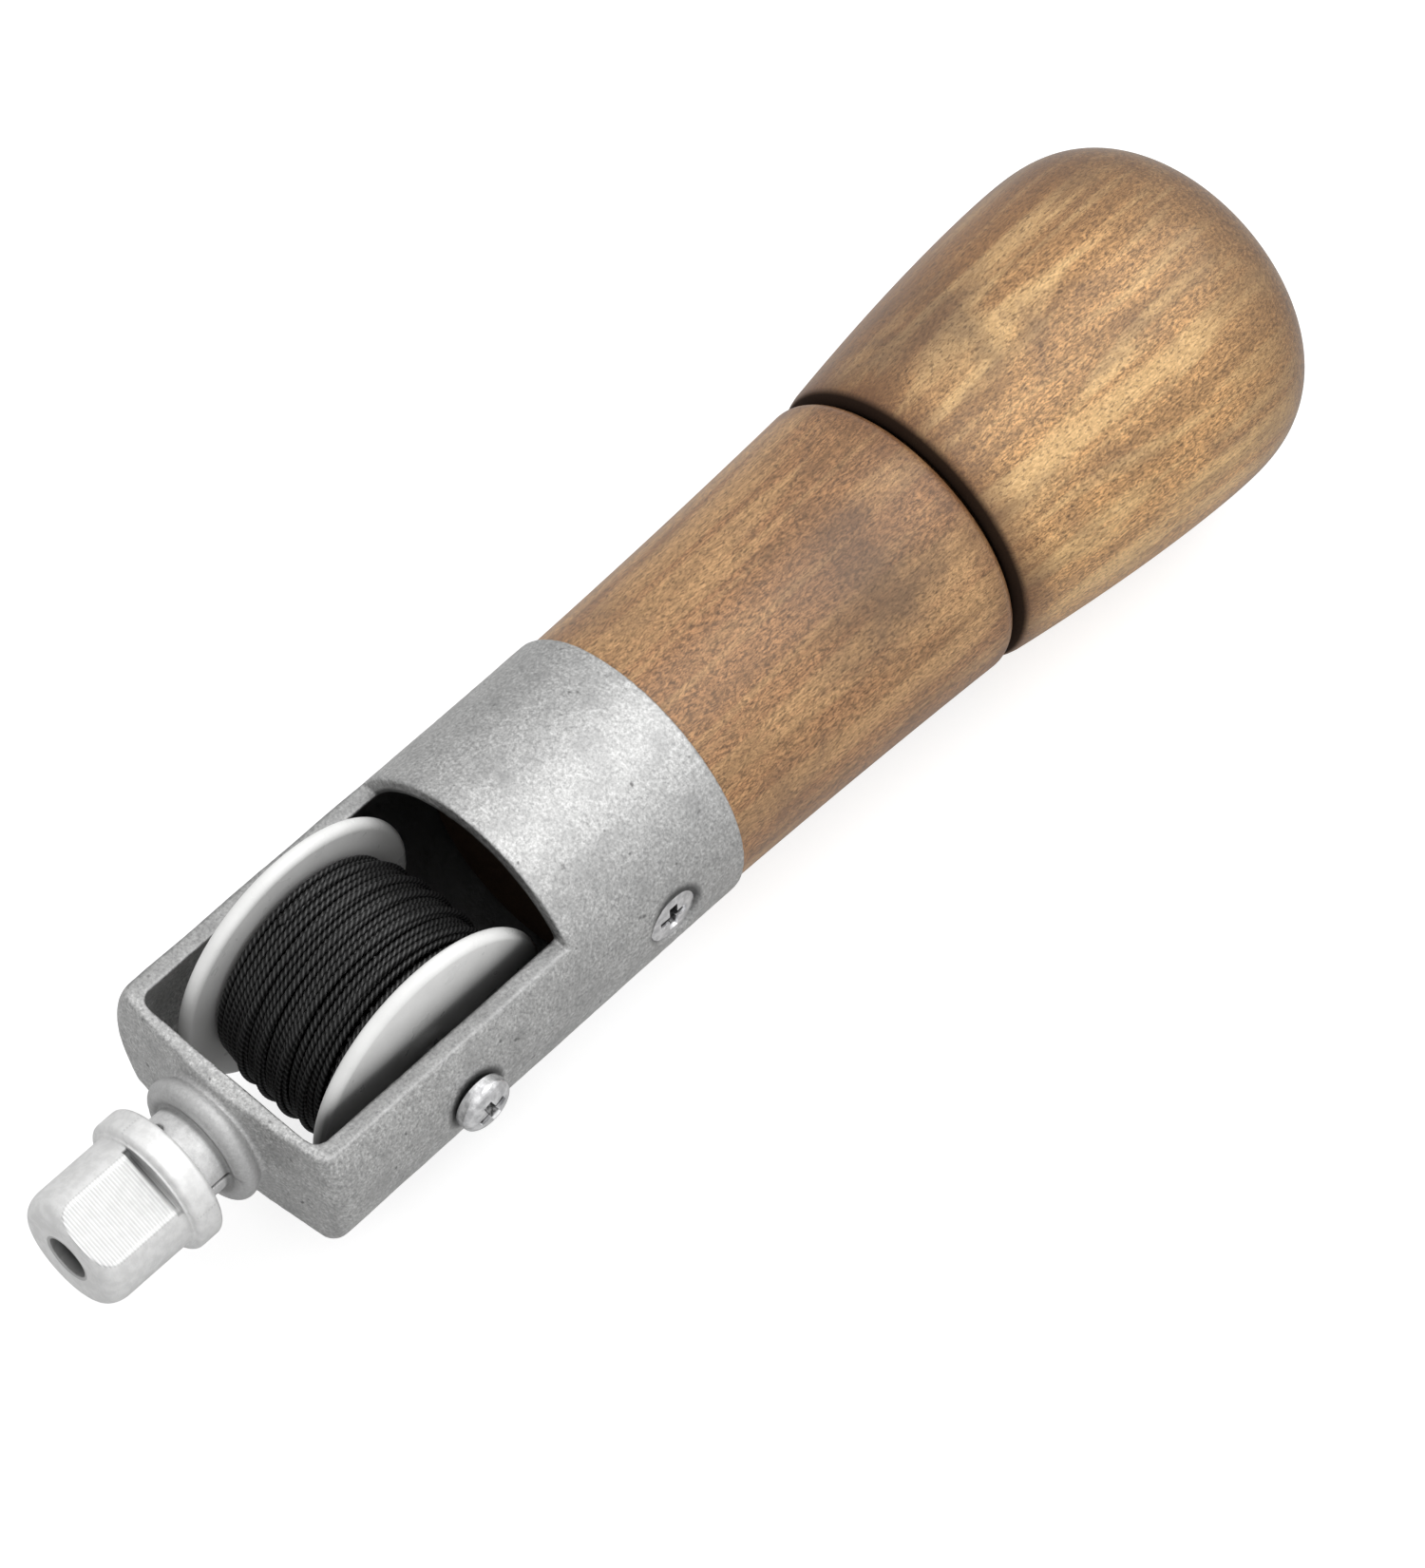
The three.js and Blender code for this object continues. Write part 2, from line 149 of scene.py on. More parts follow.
def rounded(outline, steps=6):
    """The outline's corners are (radius, y) or (radius, y, fillet). Fillets become arcs."""
    points = []
    for i, corner in enumerate(outline):
        here = Vector(corner[:2])
        fillet = corner[2] if len(corner) > 2 else 0
        if not fillet:
            points.append(here)
            continue
        back = (Vector(outline[i - 1][:2]) - here).normalized()
        ahead = (Vector(outline[(i + 1) % len(outline)][:2]) - here).normalized()
        half = back.angle(ahead) / 2
        centre = here + (back + ahead).normalized() * fillet / math.sin(half)
        start = here + back * fillet / math.tan(half) - centre
        end = here + ahead * fillet / math.tan(half) - centre
        sweep = start.angle_signed(end)
        for k in range(steps + 1):
            points.append(centre + Matrix.Rotation(-sweep * k / steps, 2) @ start)
    return [tuple(p) for p in points]


def angles_between(start, end, count):
    """Evenly spaced angles in radians, between two that are given in degrees."""
    return np.radians(np.linspace(start, end, count))


def arc(centre, radius, start, end, count=32):
    """Points of an arc, its angles in degrees from the first coordinate towards the second."""
    return [
        (centre[0] + radius * math.cos(a), centre[1] + radius * math.sin(a))
        for a in angles_between(start, end, count)
    ]


def dense(profile, longest):
    """The same profile with no step longer than given."""
    points = [profile[0]]
    for a, b in zip(profile, profile[1:]):
        count = max(1, math.ceil((Vector(b) - Vector(a)).length / longest))
        points += [tuple(Vector(a).lerp(Vector(b), k / count)) for k in range(1, count + 1)]
    return points


def turned(profile, sides=ROUND, ring=False, shape=None):
    """A body turned about Y. A ring's profile closes on itself. shape(radius, y, angles) may change the
    radii around the body."""
    angles = np.arange(sides) * 2 * math.pi / sides
    points, rows, faces = [], [], []
    for radius, y in profile:
        if radius < 1e-6:
            rows.append([len(points)])
            points.append((0, y, 0))
            continue
        radii = np.full(sides, radius) if shape is None else shape(radius, y, angles)
        rows.append(list(range(len(points), len(points) + sides)))
        points += list(zip(radii * np.cos(angles), np.full(sides, y), radii * np.sin(angles)))
    closing = [(rows[-1], rows[0])] if ring else []
    for a, b in [*zip(rows, rows[1:]), *closing]:
        for i in range(sides):
            j = (i + 1) % sides
            if len(a) == 1 and len(b) > 1:
                faces.append((a[0], b[i], b[j]))
            elif len(b) == 1 and len(a) > 1:
                faces.append((a[i], b[0], a[j]))
            elif len(a) > 1:
                faces.append((a[i], b[i], b[j], a[j]))
    return mesh_object(points, faces)


def along_x(piece, y):
    """Turns a body made about Y so that its axis lies along X at a place on the tool."""
    piece.data.transform(Matrix.Translation((0, y, 0)) @ Matrix.Rotation(math.radians(-90), 4, "Z"))
    return piece


def rod(radius, start, end, sides=48):
    return turned([(0, start), (radius, start), (radius, end), (0, end)], sides)


def block(size, centre, turn=0):
    """A box turned about the tool's axis by an angle in degrees, from +X towards +Z."""
    signs = [(x, y, z) for x in (-0.5, 0.5) for y in (-0.5, 0.5) for z in (-0.5, 0.5)]
    points = [Vector((c + s * d for c, s, d in zip(centre, sign, size))) for sign in signs]
    faces = [(0, 1, 3, 2), (4, 6, 7, 5), (0, 4, 5, 1), (2, 3, 7, 6), (0, 2, 6, 4), (1, 5, 7, 3)]
    spin = Matrix.Rotation(math.radians(-turn), 3, "Y")
    return mesh_object([spin @ p for p in points], faces)


def bake(piece):
    """Applies the piece's modifiers."""
    graph = bpy.context.evaluated_depsgraph_get()
    mesh = bpy.data.meshes.new_from_object(piece.evaluated_get(graph))
    old = piece.data
    piece.modifiers.clear()
    piece.data = mesh
    bpy.data.meshes.remove(old)
    return piece


def combine(body, operation, *tools):
    for tool in tools:
        modifier = body.modifiers.new(operation, "BOOLEAN")
        modifier.operation = operation
        modifier.object = tool
        modifier.solver = "EXACT"
        bake(body)
        bpy.data.objects.remove(tool)
    return body


def cut(body, *tools):
    return combine(body, "DIFFERENCE", *tools)


def join(body, tool):
    return combine(body, "UNION", tool)


def soften(piece, voxel, passes):
    """Remeshes a cut body evenly and wears its edges round."""
    remesh = piece.modifiers.new("remesh", "REMESH")
    remesh.mode = "VOXEL"
    remesh.voxel_size = voxel * 1
    smooth = piece.modifiers.new("smooth", "SMOOTH")
    smooth.factor = 0.5
    smooth.iterations = passes
    return bake(piece)


def thin_out(piece, most_triangles):
    triangles = sum(len(p.vertices) - 2 for p in piece.data.polygons)
    if triangles > most_triangles:
        decimate = piece.modifiers.new("decimate", "DECIMATE")
        decimate.ratio = most_triangles / triangles
        bake(piece)
    return piece


def displace(piece, amount):
    """Moves each vertex along its normal by amount(point)."""
    mesh = piece.data
    normals = [v.normal.copy() for v in mesh.vertices]
    for vertex, normal in zip(mesh.vertices, normals):
        vertex.co += normal * amount(vertex.co)
    mesh.update()
    return piece


def place(piece, name, body, node, shader, smooth_angle=None):
    """Names the piece, brings it to metres, and lets it stand for its CAD node."""
    piece.name = name
    piece.data.name = name
    piece.data.transform(Matrix.Scale(MM, 4))
    piece.data.polygons.foreach_set("use_smooth", [True] * len(piece.data.polygons))
    if smooth_angle is not None:
        piece.data.set_sharp_from_angle(angle=math.radians(smooth_angle))
    piece.data.materials.clear()
    piece.data.materials.append(shader)
    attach(piece, body)
    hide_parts(node)
    return piece


# ---------- shader tools ----------
class Shader:
    """Adds nodes to a material whose surface is a Principled BSDF. Lengths are in mm."""

    def __init__(self, name, metallic, roughness):
        self.material = bpy.data.materials.new(name)
        self.material.use_nodes = True
        self.tree = self.material.node_tree
        self.surface = self.tree.nodes["Principled BSDF"]
        self.set("Metallic", metallic)
        self.set("Roughness", roughness)
        self.coordinates = self.tree.nodes.new("ShaderNodeTexCoord").outputs["Object"]

    def node(self, kind, inputs=(), **settings):
        made = self.tree.nodes.new("ShaderNode" + kind)
        for key, value in settings.items():
            setattr(made, key, value)
        for key, value in dict(inputs).items():
            self.feed(made.inputs[key], value)
        return made

    def feed(self, socket, value):
        if isinstance(value, bpy.types.NodeSocket):
            self.tree.links.new(value, socket)
        else:
            socket.default_value = value

    def set(self, key, value):
        self.feed(self.surface.inputs[key], value)

    def math(self, operation, a, b=0.0):
        made = self.node("Math", operation=operation)
        self.feed(made.inputs[0], a)
        self.feed(made.inputs[1], b)
        return made.outputs[0]

    def times(self, product, *others):
        """The product of all its values."""
        for other in others:
            product = self.math("MULTIPLY", product, other)
        return product

    def gap(self, value, goal):
        """How far a value is from a goal, either way."""
        return self.math("ABSOLUTE", self.math("SUBTRACT", value, goal))

    def length(self, a, b):
        """The length of the vector (a, b)."""
        return self.math("SQRT", self.math("ADD", self.times(a, a), self.times(b, b)))

    def position(self):
        """The point's x, y and z."""
        parts = self.node("SeparateXYZ", {"Vector": self.coordinates}).outputs
        return [self.times(parts[axis], 1 / MM) for axis in "XYZ"]

    def from_axis(self):
        """The point's distance from the tool's axis."""
        x, _, z = self.position()
        return self.length(x, z)

    def noise(self, across, along, detail=2.0, rough=0.5, warp=0.0):
        """Noise around 0.5, whose cells have these sizes across and along the tool."""
        scale = [1 / (size * MM) for size in (across, along, across)]
        cells = self.node("Mapping", {"Vector": self.coordinates, "Scale": scale}).outputs["Vector"]
        look = {"Detail": detail, "Roughness": rough, "Distortion": warp}
        return self.node("TexNoise", {"Vector": cells, "Scale": 1.0, **look}).outputs["Fac"]

    def range(self, value, start, end, before, after):
        """Goes from before to after while the value goes from start to end, and holds at both ends."""
        limits = {"From Min": start, "From Max": end, "To Min": before, "To Max": after}
        return self.node("MapRange", {"Value": value, **limits}).outputs["Result"]

    def vary(self, pattern, low, high):
        """Follows a noise between two limits."""
        return self.range(pattern, 0.3, 0.7, low, high)

    def ramp(self, value, stops):
        """A colour that goes through the stops, each a value and its colour."""
        made = self.node("ValToRGB", {"Fac": value})
        made.color_ramp.interpolation = "EASE"
        elements = made.color_ramp.elements
        while len(elements) < len(stops):
            elements.new(0.5)
        for element, (position, tone) in zip(elements, stops):
            element.position = position
            element.color = tone
        return made.outputs["Color"]

    def mix(self, share, a, b):
        """Colour a, with a share of colour b."""
        made = self.node("Mix", data_type="RGBA")  # four pairs of its inputs are named A and B
        self.feed(made.inputs["Factor"], share)
        self.feed(made.inputs[6], a)
        self.feed(made.inputs[7], b)
        return made.outputs[2]

    def bump(self, height, depth, normal=None):
        inputs = {"Height": height, "Strength": 1.0, "Distance": depth * MM}
        if normal is not None:
            inputs["Normal"] = normal
        return self.node("Bump", inputs).outputs["Normal"]


def colour(red, green, blue):
    return (red, green, blue, 1)


def grey(value):
    return colour(value, value, value)


# ---------- cast metal ----------
def grain_tone(s, speckle, cloud):
    """The tumbled skin: fine speckle under soft grey clouds, with a few dark pits."""
    pits = s.noise(1.1, 1.1, 2, 0.5)
    dark_grain = grey(0.34)
    middle_grain = colour(0.52, 0.52, 0.515)
    light_grain = colour(0.72, 0.72, 0.715)
    tone = s.ramp(speckle, [(0.36, dark_grain), (0.5, middle_grain), (0.64, light_grain)])
    tone = s.mix(s.range(cloud, 0.45, 0.68, 0, 0.5), tone, grey(0.33))
    return s.mix(s.range(pits, 0.7, 0.77, 0, 0.75), tone, grey(0.12)), pits


def turned_tone(s, y, cloud):
    """The post is bright and the bead behind it duller, both mottled."""
    post_tone = grey(1.0)
    bead_tone = grey(0.55)
    on_bead = s.range(y, BEAD_FRONT - 0.2, BEAD_FRONT + 0.2, 0, 1)
    tone = s.mix(on_bead, post_tone, bead_tone)
    return s.mix(s.range(cloud, 0.42, 0.64, 0.55, 0), tone, grey(0.4))


def post_root_shade(s, y):
    """Painted shade: a dark line where the post meets its bead."""
    at_root = s.range(s.gap(y, BEAD_FRONT - 0.1), 0.1, 0.4, 0.55, 0)
    near_post = s.range(s.from_axis(), POST_R + 0.2, POST_R + 0.7, 1, 0)
    return s.times(at_root, near_post)


def ferrule_shadow(s, y, z, behind_wall):
    """Deepens the shadow on the inner faces behind the window."""
    on_inner_face = s.range(s.from_axis(), FERRULE_BORE_R + 0.35, FERRULE_BORE_R + 0.55, 1, 0)
    below_rim = s.range(s.math("ABSOLUTE", z), WINDOW_HALF_HEIGHT - 0.35, WINDOW_HALF_HEIGHT - 0.1, 1, 0)
    under_tube = s.range(y, WINDOW_BACK - 1, WINDOW_BACK + 0.5, 0, 1)
    depth = s.range(y, WINDOW_BACK - 9, WINDOW_BACK - 1, 0.1, 0.95)
    return s.times(on_inner_face, behind_wall, depth, s.math("MAXIMUM", below_rim, under_tube))


def rim_shade(s, y, z, behind_wall):
    """Painted shade: the window's flat rims are a little greyer than the rest."""
    on_rim = s.range(s.math("ABSOLUTE", z), WINDOW_HALF_HEIGHT - 0.24, WINDOW_HALF_HEIGHT - 0.12, 0, 0.4)
    beside_window = s.range(y, WINDOW_BACK - 0.5, WINDOW_BACK, 1, 0)
    return s.times(on_rim, beside_window, behind_wall)


def screw_shadow_ring(s, head_y, ring_r, rise):
    """Painted shadow: a dark ring on the outer face around a screw head."""
    x, y, z = s.position()
    away = s.length(s.math("SUBTRACT", y, head_y), s.math("SUBTRACT", z, rise))
    on_outer_face = s.range(x, FERRULE_BORE_R + 0.2, FERRULE_BORE_R + 0.5, 0, 1)
    return s.times(s.range(away, ring_r, ring_r + 0.65, 0.85, 0), on_outer_face)


def cast_metal():
    """Tumbled cast aluminium, turned smooth on the post, with painted shade at the post's root, inside the
    ferrule and on the window's rims, and painted shadow rings around the screws.
    """
    s = Shader("cast_metal", 1.0, 0.5)
    speckle = s.noise(0.3, 0.3, 4, 0.75)
    cloud = s.noise(3.0, 3.0, 5, 0.7)
    _, y, z = s.position()
    cast = s.range(y, BEAD_FRONT + 1.6, BEAD_FRONT + 3.0, 0.3, 1)
    behind_wall = s.range(y, WALL_BACK - 0.1, WALL_BACK + 0.3, 0, 1)
    tone, pits = grain_tone(s, speckle, cloud)
    tone = s.mix(cast, turned_tone(s, y, cloud), tone)
    # Painted shade where the post meets its bead.
    tone = s.mix(post_root_shade(s, y), tone, grey(0.06))
    tone = s.mix(ferrule_shadow(s, y, z, behind_wall), tone, grey(0.12))
    # Painted shade on the window's rims.
    tone = s.mix(rim_shade(s, y, z, behind_wall), tone, grey(0.2))
    # Painted shadow rings around the axle screw and the ferrule screw.
    tone = s.mix(screw_shadow_ring(s, AXLE, 2.85, 0.0), tone, grey(0.05))
    tone = s.mix(screw_shadow_ring(s, FERRULE_SCREW, 2.75, 0.6), tone, grey(0.05))
    s.set("Base Color", tone)
    s.set("Metallic", s.range(cast, 0.3, 1, 0.55, 1))
    s.set("Roughness", s.mix(cast, grey(0.52), s.vary(speckle, 0.42, 0.58)))
    s.set("Normal", s.bump(s.times(speckle, cast), 0.035, s.bump(cloud, 0.05, s.bump(pits, 0.06))))
    return s.material


# ---------- turned metal ----------
def milling(s, y, height):
    """Where the nut's flats are, and the wave of the milling lines on them."""
    pitch = 0.31
    under_face = s.range(height, NUT_HALF_FLATS + 0.02, NUT_HALF_FLATS + 0.08, 1, 0)
    near_face = s.range(height, NUT_HALF_FLATS - 0.15, NUT_HALF_FLATS - 0.08, 0, 1)
    off_edge = s.range(s.from_axis(), 5.5, 5.6, 1, 0)
    flat = s.times(under_face, near_face, s.math("MAXIMUM", off_edge, 0.6))
    wave = s.math("SINE", s.times(y, 2 * math.pi / pitch))
    return flat, s.times(wave, flat)


def undercut_shadow(s, x, y, height):
    """A dark line where the flats end at the flange."""
    line = s.range(s.gap(y, NUT_FLANGE - 0.55), 0.24, 0.34, 1, 0)
    strength = s.range(x, 0, 4, 0.98, 0.5)
    beyond_flats = s.range(height, NUT_HALF_FLATS - 0.3, NUT_HALF_FLATS - 0.15, 0, 1)
    return s.times(line, strength, beyond_flats)


def turned_metal():
    """Bright aluminium: faint turning lines, plain milling lines on the flats, painted shade on the flats
    and in the bore, and a painted shadow line where the flats end.
    """
    s = Shader("turned_metal", 0.5, 0.34)
    cloud = s.noise(0.9, 0.9, 3, 0.6)
    turning = s.noise(5, 0.12, 2, 0.6)
    x, y, z = s.position()
    to_flats = math.radians(90 - NUT_TURN)
    tilted = s.math("ADD", s.times(x, math.cos(to_flats)), s.times(z, math.sin(to_flats)))
    height = s.math("ABSOLUTE", tilted)
    flat, groove = milling(s, y, height)
    in_bore = s.range(s.from_axis(), NUT_MOUTH_R + 0.25, NUT_MOUTH_R + 0.35, 1, 0)
    depth = s.range(y, NOSE + 0.1, NOSE + 1.2, 0.45, 0.95)
    tone = s.ramp(cloud, [(0.35, colour(0.84, 0.84, 0.835)), (0.65, colour(0.96, 0.96, 0.955))])
    # Painted shade: the flats are darker than the turned round.
    tone = s.mix(s.times(flat, 0.4), tone, grey(0.62))
    tone = s.mix(s.range(groove, -1, 1, 0, 0.4), tone, grey(0.4))
    # Painted shade, deepening into the bore.
    tone = s.mix(s.times(in_bore, depth), tone, grey(0.05))
    tone = s.mix(undercut_shadow(s, x, y, height), tone, grey(0.08))
    s.set("Base Color", tone)
    s.set("Roughness", s.vary(cloud, 0.3, 0.4))
    s.set("Normal", s.bump(groove, 0.02, s.bump(turning, 0.012, s.bump(cloud, 0.012))))
    return s.material


# ---------- plating, plastic, thread and tool steel ----------
def recess_shade(s, head_y, head_x):
    """Painted shade in the cross recess of a head whose middle is at head_y and whose top is at head_x,
    uneven in patches.
    """
    x, y, z = s.position()
    out = s.math("ABSOLUTE", x)
    away = s.length(s.math("SUBTRACT", y, head_y), z)
    under_top = s.range(out, head_x - 0.42, head_x - 0.28, 1, 0)
    above_bottom = s.range(out, head_x - 1.8, head_x - 1.6, 0, 1)
    in_reach = s.range(away, RECESS_REACH, RECESS_REACH + 0.1, 1, 0)
    off_middle = s.range(away, 0.3, 0.6, 0.3, 1)
    patches = s.range(s.noise(0.25, 0.25, 2), 0.35, 0.6, 0.97, 0.75)
    return s.times(under_top, above_bottom, in_reach, off_middle, patches)


def plated_steel(name, head_y, head_x):
    s = Shader(name, 1.0, 0.14)
    cloud = s.noise(0.7, 0.7, 3)
    tone = s.ramp(cloud, [(0.3, colour(0.55, 0.55, 0.56)), (0.7, colour(0.9, 0.9, 0.91))])
    # Painted shade in the cross recess.
    s.set("Base Color", s.mix(recess_shade(s, head_y, head_x), tone, grey(0.02)))
    s.set("Roughness", s.vary(cloud, 0.08, 0.22))
    s.set("Normal", s.bump(cloud, 0.03))
    return s.material


def spool_plastic():
    """Glossy white plastic that is shaded where little light gets in, most on the outer face at +X."""
    s = Shader("spool_plastic", 0.0, 0.3)
    reach_of_shade = 11
    flow = s.noise(3, 3, 3)
    grain = s.noise(0.2, 0.2, 2)
    open_sky = s.node("AmbientOcclusion", {"Distance": reach_of_shade * MM}, samples=12).outputs["AO"]
    x, _, _ = s.position()
    outer_face = s.range(x, SPOOL_HALF - 1, SPOOL_HALF - 0.3, 0.5, 1)
    shade = s.times(s.range(open_sky, 0.4, 1.0, 0.97, 0), outer_face)
    tone = s.ramp(flow, [(0.3, colour(0.82, 0.82, 0.81)), (0.7, colour(0.88, 0.88, 0.87))])
    s.set("Base Color", s.mix(shade, tone, grey(0.08)))
    s.set("Roughness", s.vary(flow, 0.25, 0.38))
    s.set("Normal", s.bump(grain, 0.004))
    return s.material


def thread_cord():
    """Black waxed cord with a painted highlight on the crests of its strands, near black in the valleys,
    with a few specks of dust.
    """
    s = Shader("thread", 0.0, 0.34)
    fibre = s.noise(0.12, 0.12, 3)
    dust = s.range(s.noise(0.3, 0.3, 2), 0.8, 0.86, 0, 0.5)
    crest = s.node("Attribute", attribute_name="crest").outputs["Fac"]
    # Painted highlight: the crests of the strands are lighter grey, and the valleys near black.
    crest_highlight = s.times(s.math("POWER", crest, 3.0), s.vary(fibre, 0.5, 1.0))
    tone = s.mix(crest_highlight, grey(0.0015), grey(0.085))
    s.set("Base Color", s.mix(dust, tone, grey(0.3)))
    s.set("Roughness", s.vary(fibre, 0.28, 0.42))
    s.set("Specular IOR Level", s.range(crest, 0.4, 1.0, 0.05, 0.75))
    s.set("Normal", s.bump(fibre, 0.012))
    return s.material


def tool_steel():
    """Satin steel, brushed along its length."""
    s = Shader("tool_steel", 1.0, 0.3)
    brushed = s.noise(0.1, 3, 2)
    tone = s.ramp(brushed, [(0.3, colour(0.56, 0.57, 0.58)), (0.7, colour(0.74, 0.75, 0.76))])
    s.set("Base Color", tone)
    s.set("Roughness", s.vary(brushed, 0.22, 0.38))
    s.set("Normal", s.bump(brushed, 0.006))
    return s.material


# ---------- wood ----------
def grain_of_wood(s, flecks, streaks, body_tone, golden):
    """Short flecks in the body tone, with a share of golden streaks and darker bands."""
    dark_fleck = colour(*[0.42 * c for c in body_tone])
    light_fleck = colour(*[1.62 * c for c in body_tone])
    dark_gold = colour(0.5, 0.295, 0.115)
    light_gold = colour(0.95, 0.64, 0.31)
    bands = s.noise(2.2, 26, 3, 0.6, 0.5)
    tone = s.ramp(flecks, [(0.41, dark_fleck), (0.5, colour(*body_tone)), (0.59, light_fleck)])
    gold = s.mix(s.range(flecks, 0.35, 0.65, 0, 1), dark_gold, light_gold)
    tone = s.mix(s.range(streaks, 0.46, 0.6, 0, golden), tone, gold)
    return s.mix(s.range(bands, 0.5, 0.66, 0, 0.5), tone, colour(0.18, 0.095, 0.04))


def stains(s, tone, spot, pores):
    """A dark ragged spot, scattered blotches, and dark pores."""
    blotches = s.noise(8, 11, 5, 0.65, 0.5)
    away = s.node("VectorMath", operation="DISTANCE")
    s.feed(away.inputs[0], s.coordinates)
    s.feed(away.inputs[1], [c * MM for c in spot])
    ragged = s.math("ADD", s.times(away.outputs["Value"], 1 / MM), s.vary(blotches, -6, 6))
    tone = s.mix(s.range(ragged, 2, 9, 0.62, 0), tone, colour(0.11, 0.064, 0.04))
    tone = s.mix(s.range(blotches, 0.52, 0.68, 0, 0.45), tone, colour(0.16, 0.09, 0.055))
    return s.mix(s.range(pores, 0.56, 0.64, 0, 0.55), tone, colour(0.06, 0.03, 0.014))


def end_of_cap(s):
    """The mottled end grain on the cap's dome; its darkness is partly painted shade at the dome's edge."""
    grain = s.noise(0.35, 0.35, 4, 0.8)
    dark_grain = colour(0.05, 0.022, 0.009)
    middle_grain = colour(0.13, 0.065, 0.026)
    light_grain = colour(0.25, 0.138, 0.06)
    return s.ramp(grain, [(0.36, dark_grain), (0.5, middle_grain), (0.64, light_grain)])


def stained_wood(name, body_tone, golden, spot, shaded_side):
    """Stained, lacquered wood with its grain along Y, with painted shade at the joint, under the ferrule and
    on the side towards -X. golden is the share of the light streaks, spot is the place of a stain, and the
    last argument is the share of that painted shade on the side towards -X."""
    s = Shader(name, 0.0, 0.45)
    x, y, _ = s.position()
    flecks = s.noise(0.2, 0.7, 5, 0.85, 0.3)
    pores = s.noise(0.2, 0.55, 2, 0.6)
    streaks = s.noise(3.0, 34, 3, 0.55, 0.6)
    across = s.math("ADD", x, s.range(streaks, 0.35, 0.65, -4, 4))
    from_joint = s.gap(y, JOINT + 0.5)
    under_ferrule = s.range(y, FERRULE_BACK - 1, FERRULE_BACK + 0.25, 1, 0)
    # Painted shade: the gap at the joint and the wood under the ferrule are made near black.
    dark = s.math("MAXIMUM", s.range(from_joint, 0.2, 0.75, 1, 0), under_ferrule)
    tone = grain_of_wood(s, flecks, streaks, body_tone, golden)
    # Painted shade: darker on the side towards -X.
    tone = s.mix(s.range(across, -12, 2, shaded_side, 0), tone, colour(0.17, 0.072, 0.026))
    tone = stains(s, tone, spot, pores)
    # Painted shade, darker towards the joint on both sides.
    tone = s.mix(s.range(from_joint, 0.4, 4.2, 0.75, 0), tone, colour(0.11, 0.042, 0.015))
    # Darker end grain towards the cap's end, partly painted shade at the dome's edge.
    tone = s.mix(s.range(y, CAP_END - 17, CAP_END - 5, 0, 0.9), tone, end_of_cap(s))
    # Painted shade: near black in the joint's gap and under the ferrule.
    tone = s.mix(s.times(dark, 0.96), tone, colour(0.014, 0.007, 0.004))
    s.set("Base Color", tone)
    s.set("Roughness", s.math("MAXIMUM", s.vary(flecks, 0.4, 0.55), dark))
    s.set("Coat Weight", s.range(dark, 0, 1, 0.35, 0))
    s.set("Specular IOR Level", s.range(dark, 0, 1, 0.3, 0.2))
    s.set("Coat Roughness", 0.2)
    s.set("Normal", s.bump(flecks, 0.014, s.bump(pores, 0.02)))
    return s.material


# ---------- frame ----------
def screw_thread(pitch, depth, start, end):
    """A shape for turned(): a rounded screw thread cut into the surface between two places. A negative
    depth cuts it outwards, into a bore."""

    def shape(radius, y, angles):
        if not start <= y <= end:
            return np.full(len(angles), radius)
        fade = min(1, (y - start) / pitch, (end - y) / pitch)
        turn = (y / pitch - angles / (2 * math.pi)) % 1
        return radius - depth * fade * (0.5 + 0.5 * np.cos(2 * math.pi * turn))

    return shape


def yoke_outside():
    rim = 1.4
    dome = 1.0
    return turned(rounded([
        (0, WALL_FRONT),
        (BEAD_R, WALL_FRONT),
        (FERRULE_R, WALL_FRONT + dome, rim),
        (FERRULE_R, FERRULE_BACK),
        (0, FERRULE_BACK),
    ]))


def yoke_cavity():
    corner = 1.2
    return turned(rounded([
        (0, WALL_BACK),
        (FERRULE_BORE_R, WALL_BACK, corner),
        (FERRULE_BORE_R, FERRULE_BACK + 1),
        (0, FERRULE_BACK + 1),
    ]))


def boss_and_post():
    bead = 1.1
    chamfer = 1.2
    thread_end = NUT_BACK - 0.9
    fillet_r = 8.2
    in_wall = (WALL_FRONT + WALL_BACK) / 2
    profile = [
        (0, POST_TIP),
        (POST_THREAD_R - chamfer, POST_TIP),
        (POST_THREAD_R, POST_TIP + chamfer),
        (POST_THREAD_R, thread_end),
        (POST_R, thread_end + 0.4),
        (POST_R, SLIT_END),
        *arc((BEAD_R - bead, BEAD_FRONT + bead), bead, -120, 60, 19),
        (BEAD_R - 0.4, WALL_FRONT - 0.3),
        (fillet_r, WALL_FRONT + 0.35),
        (fillet_r, in_wall),
        (0, in_wall),
    ]
    thread = screw_thread(POST_PITCH, 0.45, POST_TIP + 0.3, thread_end)
    return turned(dense(profile, THREAD_STEP), 128, shape=thread)


def axle_boss(side):
    """A round pad inside a side wall, which keeps the spool off the wall."""
    radius = 3.4
    face = side * (SPOOL_HALF + 0.4)
    root = side * (FERRULE_BORE_R + 0.5)
    return along_x(rod(radius, min(face, root), max(face, root)), AXLE)


def countersink(side):
    hole_r = 1.6
    mouth_r = 3.05
    start = 10
    end = FERRULE_R + 2
    profile = [
        (0, start),
        (hole_r, start),
        (hole_r, FERRULE_R - 1.6),
        (mouth_r, FERRULE_R - 0.15),
        (mouth_r, end),
        (0, end),
    ]
    tool = turned([(r, side * x) for r, x in profile], 64)
    return along_x(tool, FERRULE_SCREW)


